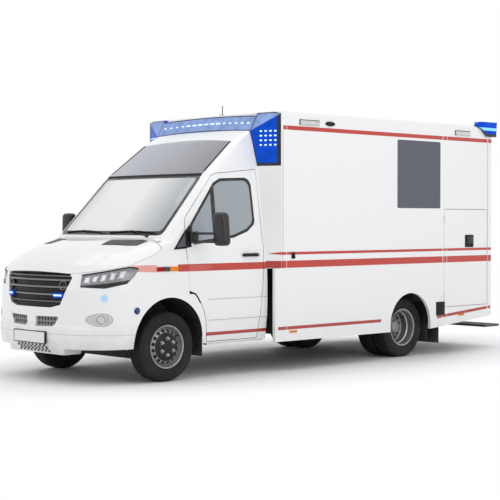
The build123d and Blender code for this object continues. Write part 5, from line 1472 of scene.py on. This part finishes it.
class AMBULANCE_OT_side_fittings(Operator):
    """Adds handles, markers, work lights, vents, hooks, dark sheets of rubber and painted shade, and seams
    along the sides.
    """
    bl_idname = "ambulance.side_fittings"
    bl_label = "Side fittings"

    def execute(self, context):
        for side, sign in SIDES:
            self.door_handle(side, sign)
            self.cab_side(side, sign)
            self.rubber_and_shade_sheets(side, sign)
            self.box_side(side, sign)
        self.locker()
        self.entrance()
        return {"FINISHED"}

    @staticmethod
    def door_handle(side, sign):
        """Handle and lock of a cab door."""
        door = f"cab_door_{side}"
        bm = bmesh.new()
        place = on_side(door, -1137, 1264, sign)
        add_box(bm, (-0.118, -0.017, 0.010), (0.118, 0.017, 0.030), 0.009, 3, place)
        add_box(bm, (-0.110, -0.013, -0.002), (-0.070, 0.013, 0.016), 0.005, 2, place)
        add_box(bm, (0.070, -0.013, -0.002), (0.110, 0.013, 0.016), 0.005, 2, place)
        piece(f"door_handle_{side}", bm, BODY_OF[door], "black_plastic")
        bm = bmesh.new()
        add_lathe(bm, DOOR_LOCK, place @ Matrix.Translation((0.102 * sign, 0, 0.028)), 24)
        piece(f"door_lock_{side}", bm, BODY_OF[door], "bright_steel")

    @staticmethod
    def cab_side(side, sign):
        """Marker lamps, painted shade on the panels' edges in the shut lines, and the raised strip with its
        creases, drawn as lines of painted shade, on the flank.
        """
        for name, front, rear, finish, slot in MARKERS:
            bm = bmesh.new()
            corners = [(front, MARKER_LOW), (rear, MARKER_LOW), (rear, MARKER_HIGH), (front, MARKER_HIGH)]
            side_band(bm, "front_wings", corners, sign, 0.35, 0.85, 0.010, 0.010)
            piece(f"{name}_{side}", bm, ROOT, finish)
        door = f"cab_door_{side}"
        for node in (door, "cab_sides"):
            # The panels' edge faces in the shut lines are painted black as painted shade in the gaps
            skin_piece(
                f"shut_line_shade_{side}_{node}", node, (), lambda c, n: abs(n.y) < 0.4 and c.y * sign > 0.88,
                0.0006, 0.0, "seal_rubber",
            )
            # Grey lines of painted shade along the strip's two creases
            bm = bmesh.new()
            for z in (STRIP_LOW, STRIP_HIGH):
                low, high = z - CREASE_HALF, z + CREASE_HALF
                corners = [(STRIP_FRONT, low), (STRIP_REAR, low), (STRIP_REAR, high), (STRIP_FRONT, high)]
                side_band(bm, node, corners, sign, 0.6, 0.9, 0.0042, 0.004)
            piece(f"flank_crease_{side}_{node}", bm, BODY_OF[node], "crease_shade_grey")
        for node, front, rear in ((door, STRIP_FRONT, -1320), ("cab_sides", -1240, STRIP_REAR)):
            bm = bmesh.new()
            corners = [(front, STRIP_LOW), (rear, STRIP_LOW), (rear, STRIP_HIGH), (front, STRIP_HIGH)]
            side_band(bm, node, corners, sign, 0.6, 0.9, 0.0035, 0.0035)
            piece(f"flank_strip_{side}_{node}", bm, BODY_OF[node], "white_paint", 20)

    @staticmethod
    def rubber_and_shade_sheets(side, sign):
        """Dark sheets in the gap ahead of the box and behind the rear wheels; the one ahead of the box stands
        for black rubber and for painted shade in the gap.
        """
        sheet = bmesh.new()
        for rear, front, inner, outer, low, high, edge in RUBBER_AND_SHADE_SHEETS:
            near, far = sorted((sign * inner, sign * outer))
            add_box(sheet, at(rear, near, low), at(front, far, high), edge, 2)
        piece(f"rubber_and_shade_sheets_{side}", sheet, ROOT, "liner_plastic")

    @staticmethod
    def box_side(side, sign):
        """Work lights, an oval lamp, a hook, markers, a vent and the corner seams on one side of the box."""
        wall = f"box_wall_{side}"
        lights, lenses, dark, amber, groove, rims = (bmesh.new() for _ in range(6))
        for front, rear, z in WORK_LIGHTS:
            place = on_side(wall, (front + rear) / 2, z, sign)
            half = (front - rear) / 2000
            add_box(rims, (-half - 0.008, -0.026, -0.002), (half + 0.008, 0.036, 0.006), 0.003, 2, place)
            add_box(lights, (-half, -0.028, -0.002), (half, 0.028, 0.018), 0.010, 3, place)
            add_box(lenses, (-half + 0.018, -0.017, 0.016), (half - 0.018, 0.017, 0.021), 0.004, 2, place)
        oval = on_side(wall, *OVAL_PLACE, sign) @ Matrix.Diagonal((3.0, 1, 1, 1))
        add_lathe(dark, OVAL_LAMP, oval, 40)
        place = on_side(wall, *HOOK_PLACE[side], sign)
        add_box(dark, (-0.024, -0.034, -0.002), (0.024, 0.034, 0.010), 0.006, 2, place)
        add_box(dark, (-0.013, -0.030, 0.008), (0.013, 0.004, 0.026), 0.005, 2, place)
        for x, z in BOX_MARKERS:
            place = on_side(wall, x, z, sign)
            add_box(amber, (-0.055, -0.012, -0.002), (0.055, 0.012, 0.010), 0.005, 2, place)
        place = on_side(wall, *VENT_PLACE, sign)
        add_box(dark, (-0.083, -0.083, -0.002), (0.083, 0.083, 0.006), 0.004, 2, place)
        for step in range(6):
            z = -0.062 + 0.025 * step
            add_box(dark, (-0.070, z - 0.006, 0.004), (0.070, z + 0.006, 0.013), 0.003, 2, place)
        y = sign * BOX_SEAM_Y
        for x, z_low, z_high in BOX_SEAMS:
            add_box(groove, at(x - 1.6, y - 0.6, z_low), at(x + 1.6, y + 0.6, z_high))
        for name, bm, finish, slot in (
            ("work_lights", lights, "bezel_silver", "clear_lens"),
            ("work_light_lenses", lenses, "white_lens", "clear_lens"),
            ("box_dark_fittings", dark, "black_plastic", "black_plastic"),
            ("box_markers", amber, "amber_lens", "red_lens"),
            ("box_seams", groove, "seal_rubber", "black_plastic"),
            ("work_light_rims", rims, "seal_rubber", "black_plastic"),
        ):
            piece(f"{name}_{side}", bm, ROOT, finish)

    @staticmethod
    def locker():
        """Paddle handle and lock on the locker door."""
        plate, paddle = bmesh.new(), bmesh.new()
        place = on_side("locker_door", -4793, 1378, 1)
        add_box(plate, (-0.082, -0.076, -0.002), (0.082, 0.076, 0.008), 0.010, 3, place)
        add_box(paddle, (-0.060, -0.030, 0.006), (0.050, 0.056, 0.020), 0.008, 3, place)
        add_lathe(paddle, LOCKER_LOCK, place @ Matrix.Translation((0.055, -0.052, 0)), 20)
        piece("locker_plate", plate, "locker_door", "black_plastic")
        piece("locker_paddle", paddle, "locker_door", "gloss_black")

    @staticmethod
    def entrance():
        """Pull handle and window rubber on the entrance door."""
        bm = bmesh.new()
        place = on_side("side_door", -2330, 1290, -1)
        add_box(bm, (-0.05, -0.12, -0.002), (0.05, 0.12, 0.008), 0.012, 3, place)
        add_box(bm, (-0.018, -0.095, 0.006), (0.018, 0.095, 0.034), 0.010, 3, place)
        piece("entrance_handle", bm, "side_door", "black_plastic")
        planes, inside = side_outline(shrunk(ENTRANCE_WINDOW, WINDOW_RUBBER))
        skin_piece(
            "entrance_window_rubber", "side_door_glass", planes, lambda c, n: n.y < -0.6 and not inside(c),
            0.0015, 0.001, "gloss_black",
        )


# Left rear window, Y and Z in mm
REAR_WINDOW = ((230, 1500), (740, 1500), (740, 2350), (230, 2350))
# Lock bars on the rear doors, in metres: distance from the middle, low and high end, brackets
BAR_Y, BAR_LOW, BAR_HIGH, BAR_BRACKETS = 0.11, 0.70, 2.52, (0.80, 1.30, 2.42)
# Chambers of the rear lamps, in mm: name, low Z, high Z, finish
REAR_LENSES = (("rear_turn_lenses", 1150, 1252, "amber_lens"), ("rear_back_lenses", 908, 985, "white_lens"))
# Raised bars on the step, in metres: pitch and top of the tread
STEP_PITCH, STEP_TOP = 0.052, 0.300
STEP_ROWS, STEP_COLUMNS = 5, 37


class AMBULANCE_OT_rear(Operator):
    """Adds lock bars, handles, lamp lenses, window rubbers, the blank plate and the step's pattern."""
    bl_idname = "ambulance.rear"
    bl_label = "Rear end"

    def execute(self, context):
        for side, sign in SIDES:
            door = f"rear_door_{side}"
            bars = bmesh.new()
            y = sign * BAR_Y
            face = hit(door, at(BEHIND, y * 1000, 1200), (1, 0, 0))[0].x
            for z in BAR_BRACKETS:
                low, high = (face - 0.024, y - 0.022, z - 0.03), (face + 0.001, y + 0.022, z + 0.03)
                add_box(bars, low, high, 0.004, 2)
            add_rod(bars, (face - 0.013, y, BAR_LOW), (face - 0.013, y, BAR_HIGH), 0.010, 14)
            piece(f"lock_bar_{side}", bars, door, "bright_steel")
            handle = bmesh.new()
            add_box(handle, (face - 0.030, y - 0.015, 1.12), (face - 0.006, y + 0.015, 1.28), 0.007, 3)
            piece(f"rear_handle_{side}", handle, door, "black_plastic")
            outline = shrunk([(sign * y_mm, z_mm) for y_mm, z_mm in REAR_WINDOW], WINDOW_RUBBER)
            planes, inside = front_outline(outline)
            skin_piece(
                f"rear_window_rubber_{side}", f"rear_glass_{side}", planes,
                lambda c, n: n.x < -0.6 and not inside(c), 0.0015, 0.001, "gloss_black",
            )
        self.lamps()
        self.plate()
        self.step()
        return {"FINISHED"}

    @staticmethod
    def lamps():
        """Amber and white chambers on the rear lamps."""
        for name, low, high, finish in REAR_LENSES:
            bm = bmesh.new()
            for _, sign in SIDES:
                place = on_rear("rear_lamps", sign * 1025, (low + high) / 2)
                half = (high - low) / 2000
                add_box(bm, (-0.028, -half, -0.002), (0.028, half, 0.006), 0.005, 2, place)
            piece(name, bm, ROOT, finish)

    @staticmethod
    def plate():
        """A blank plate in its holder on the rear frame."""
        holder, sheet = bmesh.new(), bmesh.new()
        place = on_rear("box_rear_frame", 740, 510)
        add_box(holder, (-0.268, -0.064, -0.002), (0.268, 0.064, 0.008), 0.005, 2, place)
        add_box(sheet, (-0.258, -0.054, 0.004), (0.258, 0.054, 0.0105), 0.002, 2, place)
        piece("rear_plate_holder", holder, ROOT, "black_plastic")
        piece("rear_blank_plate", sheet, ROOT, "plate_white")

    @staticmethod
    def step():
        """Raised bars in a herringbone on the step's tread."""
        low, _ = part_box("rear_step")
        bm = bmesh.new()
        for row in range(STEP_ROWS):
            for column in range(STEP_COLUMNS):
                x = low.x + 0.035 + row * STEP_PITCH
                y = -0.96 + column * STEP_PITCH
                turn = Matrix.Rotation(math.radians(45 if (row + column) % 2 else -45), 4, "Z")
                place = Matrix.Translation((x, y, STEP_TOP)) @ turn
                add_box(bm, (-0.016, -0.0035, 0), (0.016, 0.0035, 0.0022), 0.0012, 1, place)
        piece("step_pattern", bm, ROOT, "tread_plate")


# Wheels: name, body, tyre node, then in mm X and Y of the middle, side, places of the tyres across,
# face of the hub and radius of the nuts' circle
WHEELS = (
    ("front_left", "wheel_front_left", "tyre_front_left", 0, 866, 1, (0,), 98, 83),
    ("front_right", "wheel_front_right", "tyre_front_right", 0, 866, -1, (0,), 98, 83),
    ("rear_left", "wheels_rear_left", "tyres_rear_left", -3665, 770, 1, (118, -118), 28, 138),
    ("rear_right", "wheels_rear_right", "tyres_rear_right", -3665, 770, -1, (118, -118), 28, 138),
)
WHEEL_Z = 355
VENT_HOLES = 16
# Tyre, in metres: outer radius, radius of its seat on the rim, half width
TYRE_OUTER, TYRE_SEAT, TYRE_HALF = 0.355, 0.2123, 0.1025
# Places of the long grooves on one half of the tread, and half widths of their foot and mouth
GROOVES, GROOVE_FOOT, GROOVE_MOUTH = (-0.052, -0.0175), 0.0030, 0.0042
# Cuts across the tread: steps of the turn for each block, depths on the shoulder and the rib as shares
PITCH_STEPS, SHOULDER_CUT, RIB_CUT = 4, 0.72, 0.30
# Turned outlines of a wheel's fittings in metres, as (axial, radial) points
RIM_BEAD = ((0.124, 0.199), (0.117, 0.187), (0.107, 0.186), (0.100, 0.198))
VENT_SHADE = ((0.0, 0.0190), (0.0007, 0.0185), (0.0008, 0.0))
WASHER = ((0, 0.020), (0.004, 0.020), (0.005, 0.016))
NUT = ((0.004, 0.0155), (0.018, 0.0155), (0.021, 0.012), (0.021, 0.0))
STUD = ((0.018, 0.009), (0.028, 0.009), (0.029, 0.007), (0.029, 0.0))
VALVE = ((0, 0.007), (0.02, 0.006), (0.021, 0.0045), (0.04, 0.0045), (0.041, 0.0))
# Hub caps, with the axial places from the hub's face
TWIN_CAP = ((0.064, 0.070), (0.076, 0.068), (0.082, 0.055), (0.083, 0.0))
FRONT_CAP = (
    (-0.0250, 0.1465), (-0.0235, 0.1465), (-0.0138, 0.1220), (-0.0095, 0.1120), (-0.0035, 0.0980),
    (0.0, 0.0660), (0.008, 0.062), (0.012, 0.050), (0.013, 0.0),
)


class AMBULANCE_OT_wheels(Operator):
    """Replaces the tyres by treaded ones and adds hub caps, nuts and valves."""
    bl_idname = "ambulance.wheels"
    bl_label = "Wheels"

    def execute(self, context):
        sizes = context.scene.ambulance_sizes
        for name, body, tyre, x, y, sign, places, face, nut_circle in WHEELS:
            centre = at(x, sign * y, WHEEL_Z)
            axle = facing(centre, (0, sign, 0))
            rubber = bmesh.new()
            for place in places:
                self.tread(rubber, axle @ Matrix.Translation((0, 0, place / 1000)), sizes)
            obj = piece(f"tyre_tread_{name}", rubber, body, "tyre", 35)
            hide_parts(tyre)
            self.hub(name, body, axle, face / 1000, nut_circle / 1000, sizes.wheel_nuts, len(places) > 1)
        return {"FINISHED"}

    @staticmethod
    def tread(bm, place, sizes):
        """One tyre: rounded sidewalls, long grooves and cut shoulder blocks."""
        depth = sizes.tread
        outer, seat = TYRE_OUTER, TYRE_SEAT
        wall = [
            (-0.078, seat), (-0.081, seat + 0.013), (-0.0945, seat + 0.032), (-0.1005, seat + 0.052),
            (-TYRE_HALF, seat + 0.072), (-0.1020, seat + 0.088), (-0.1000, seat + 0.101),
            (-0.0975, seat + 0.1015), (-0.0955, seat + 0.118), (-0.0930, outer - 0.020),
            (-0.0890, outer - 0.011), (-0.0800, outer - 0.0045),
        ]
        crown = []
        for groove in GROOVES:
            crown.extend(((groove - GROOVE_MOUTH, 0), (groove - GROOVE_FOOT, 1)))
            crown.extend(((groove + GROOVE_FOOT, 1), (groove + GROOVE_MOUTH, 0)))
        middle = []
        for axial, cut in [(-0.066, 0)] + crown + [(-0.006, 0)]:
            round_off = 0.0032 * (axial / 0.08) ** 2
            middle.append((axial, outer - round_off - cut * depth))
        left = wall + middle
        profile = left + [(-a, r) for a, r in reversed(left)]
        profile.append(profile[0])
        cut_rows = {row for row, (a, r) in enumerate(profile) if abs(a) > 0.058 and r > outer - 0.022}
        rib_rows = {row for row, (a, r) in enumerate(profile) if 0.021 < abs(a) < 0.049 and r > outer - 0.004}

        def radius_of(row, step, radius):
            if row in cut_rows and step % PITCH_STEPS == 0:
                return radius - depth * SHOULDER_CUT
            if row in rib_rows and step % PITCH_STEPS == PITCH_STEPS // 2:
                return radius - depth * RIB_CUT
            return radius

        add_lathe(bm, profile, place, sizes.tread_pitches * PITCH_STEPS, radius_of)

    @staticmethod
    def hub(name, body, axle, face, nut_circle, nuts, twin):
        """Hub cap, vent shades, nuts with washers and a valve."""
        cap, shade, nut_set, valve = (bmesh.new() for _ in range(4))
        if twin:
            bead = bmesh.new()
            add_lathe(bead, RIM_BEAD, axle, 72)
            piece(f"rim_bead_{name}", bead, body, "bright_steel")
            vent = Matrix.Translation((0.163, 0, 0.0162))
            cap_outline, cap_steps, nut_base, valve_base = TWIN_CAP, 48, face - 0.012, face + 0.02
        else:
            vent = Matrix.Translation((0.163, 0, 0.0630)) @ Matrix.Rotation(0.633, 4, "Y")
            cap_outline, cap_steps, nut_base, valve_base = FRONT_CAP, 64, face - 0.003, face - 0.06
        add_lathe(cap, [(face + axial, radial) for axial, radial in cap_outline], axle, cap_steps)
        for step in range(VENT_HOLES):
            turn = Matrix.Rotation(2 * math.pi * (step + 0.5) / VENT_HOLES, 4, "Z")
            add_lathe(shade, VENT_SHADE, axle @ turn @ vent, 20)
        for step in range(nuts):
            turn = Matrix.Rotation(2 * math.pi * (step + 0.5) / nuts, 4, "Z")
            place = axle @ turn @ Matrix.Translation((nut_circle, 0, nut_base))
            for outline, steps in ((WASHER, 24), (NUT, 6), (STUD, 12)):
                add_lathe(nut_set, outline, place, steps)
        turn = Matrix.Rotation(math.radians(33), 4, "Z")
        add_lathe(valve, VALVE, axle @ turn @ Matrix.Translation((0.192, 0, valve_base)), 12)
        piece(f"hub_cap_{name}", cap, body, "wheel_steel" if twin else "hub_grey")
        piece(f"vent_shade_{name}", shade, body, "seal_rubber")
        piece(f"wheel_nuts_{name}", nut_set, body, "bright_steel")
        piece(f"valve_{name}", valve, body, "black_plastic")


# Seats: where the back leans from, and its lean
SEAT_PIVOT, SEAT_LEAN = at(-1110, 0, 985), math.radians(-11)
# How far a pad swells and how deep its sewn channels are, in metres
PAD_SWELL, PAD_CHANNEL = 0.020, 0.008


class AMBULANCE_OT_cabin(Operator):
    """Makes the stuffed seats and dresses the dashboard."""
    bl_idname = "ambulance.cabin"
    bl_label = "Cabin"

    def execute(self, context):
        cover, bases = bmesh.new(), bmesh.new()
        turn = Matrix.Rotation(SEAT_LEAN, 4, "Y")
        lean = Matrix.Translation(SEAT_PIVOT) @ turn @ Matrix.Translation(-SEAT_PIVOT)
        for _, sign in SIDES:
            y = sign * 450
            self.pad(cover, at(-1060, y - 235, 895), at(-560, y + 235, 1010), 0.05, (0, 0, 1), None)
            self.pad(cover, at(-1175, y - 230, 985), at(-1050, y + 230, 1640), 0.05, (1, 0, 0), lean)
            self.pad(cover, at(-1168, y - 125, 1672), at(-1068, y + 125, 1842), 0.04, (1, 0, 0), lean)
            add_box(bases, at(-1060, y - 210, 600), at(-650, y + 210, 890), 0.02, 3)
            for off in (-60, 60):
                add_rod(bases, at(-1235, y + off, 1590), at(-1250, y + off, 1700), 0.008, 10)
        seats = piece("seat_covers", cover, ROOT, "seat_fabric", 60)
        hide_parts("seats")
        piece("seat_bases", bases, ROOT, "cabin_plastic")
        self.dashboard()
        return {"FINISHED"}

    @staticmethod
    def pad(bm, low, high, bevel, crown, matrix):
        """A crowned cushion with sewn channels, flat on its back."""
        made = add_box(bm, low, high, bevel, 4)
        faces = once(face for vert in made for face in vert.link_faces)
        edges = once(edge for face in faces for edge in face.edges)
        bmesh.ops.subdivide_edges(bm, edges=edges, cuts=3, use_grid_fill=True)
        size = [h - l for l, h in zip(low, high)]
        crown = Vector(crown)
        across = [axis for axis in range(3) if crown[axis] == 0]
        near = 1e-4
        pad_verts = [
            vert for vert in bm.verts
            if all(l - near <= c <= h + near for l, c, h in zip(low, vert.co, high))
        ]
        for vert in pad_verts:
            shares = [(vert.co[a] - low[a]) / size[a] * 2 - 1 for a in across]
            swell = max(0.0, (1 - shares[0] ** 4) * (1 - shares[1] ** 4))
            channel = PAD_CHANNEL * max(0.0, math.cos(shares[0] * math.pi * 3.5)) ** 6
            lead = sum((vert.co[a] - low[a]) / size[a] for a in range(3) if crown[a])
            if lead > 0.55:
                vert.co += crown * (PAD_SWELL * swell - channel)
        if matrix is not None:
            bmesh.ops.transform(bm, matrix=matrix, verts=pad_verts)

    @staticmethod
    def dashboard():
        """Instrument hood, middle screen and vents."""
        trim, screens, vents = bmesh.new(), bmesh.new(), bmesh.new()
        add_box(trim, at(-410, 300, 1370), at(-220, 580, 1425), 0.02, 3)
        add_box(screens, at(-413, 325, 1378), at(-408, 555, 1418), 0.001, 1)
        add_box(trim, at(-440, -130, 1225), at(-395, 130, 1375), 0.012, 3)
        add_box(screens, at(-443, -118, 1238), at(-438, 118, 1362), 0.001, 1)
        for y in (-720, -420, 200, 700):
            add_box(vents, at(-432, y - 60, 1255), at(-405, y + 60, 1320), 0.008, 2)
        piece("dashboard_trim", trim, ROOT, "cabin_trim")
        piece("dashboard_screens", screens, ROOT, "screen_dark")
        piece("dashboard_vents", vents, ROOT, "black_plastic")


class AMBULANCE_PT_panel(Panel):
    """Lists the steps that dress the ambulance."""
    bl_idname = "AMBULANCE_PT_panel"
    bl_label = "Ambulance"
    bl_space_type = "VIEW_3D"
    bl_region_type = "UI"
    bl_category = "Ambulance"

    def draw(self, context):
        for group in (context.scene.ambulance_colours, context.scene.ambulance_sizes):
            for name in group.__annotations__:
                self.layout.prop(group, name)
        for step in STEPS:
            self.layout.operator(step.bl_idname)


STEPS = (
    AMBULANCE_OT_finishes, AMBULANCE_OT_stage, AMBULANCE_OT_stripes, AMBULANCE_OT_glazing,
    AMBULANCE_OT_front, AMBULANCE_OT_roof_lights, AMBULANCE_OT_mirrors, AMBULANCE_OT_side_fittings,
    AMBULANCE_OT_rear, AMBULANCE_OT_wheels, AMBULANCE_OT_cabin,
)
CLASSES = (AmbulanceColours, AmbulanceSizes, *STEPS, AMBULANCE_PT_panel)


def register():
    for cls in CLASSES:
        bpy.utils.register_class(cls)
    bpy.types.Scene.ambulance_colours = PointerProperty(type=AmbulanceColours)
    bpy.types.Scene.ambulance_sizes = PointerProperty(type=AmbulanceSizes)


def unregister():
    del bpy.types.Scene.ambulance_sizes
    del bpy.types.Scene.ambulance_colours
    for cls in reversed(CLASSES):
        bpy.utils.unregister_class(cls)


def main():
    register()
    bpy.ops.ambulance.finishes()
    bpy.ops.ambulance.stage()
    bpy.ops.ambulance.stripes()
    bpy.ops.ambulance.glazing()
    bpy.ops.ambulance.front()
    bpy.ops.ambulance.roof_lights()
    bpy.ops.ambulance.mirrors()
    bpy.ops.ambulance.side_fittings()
    bpy.ops.ambulance.rear()
    bpy.ops.ambulance.wheels()
    bpy.ops.ambulance.cabin()


if __name__ == "__main__":
    main()
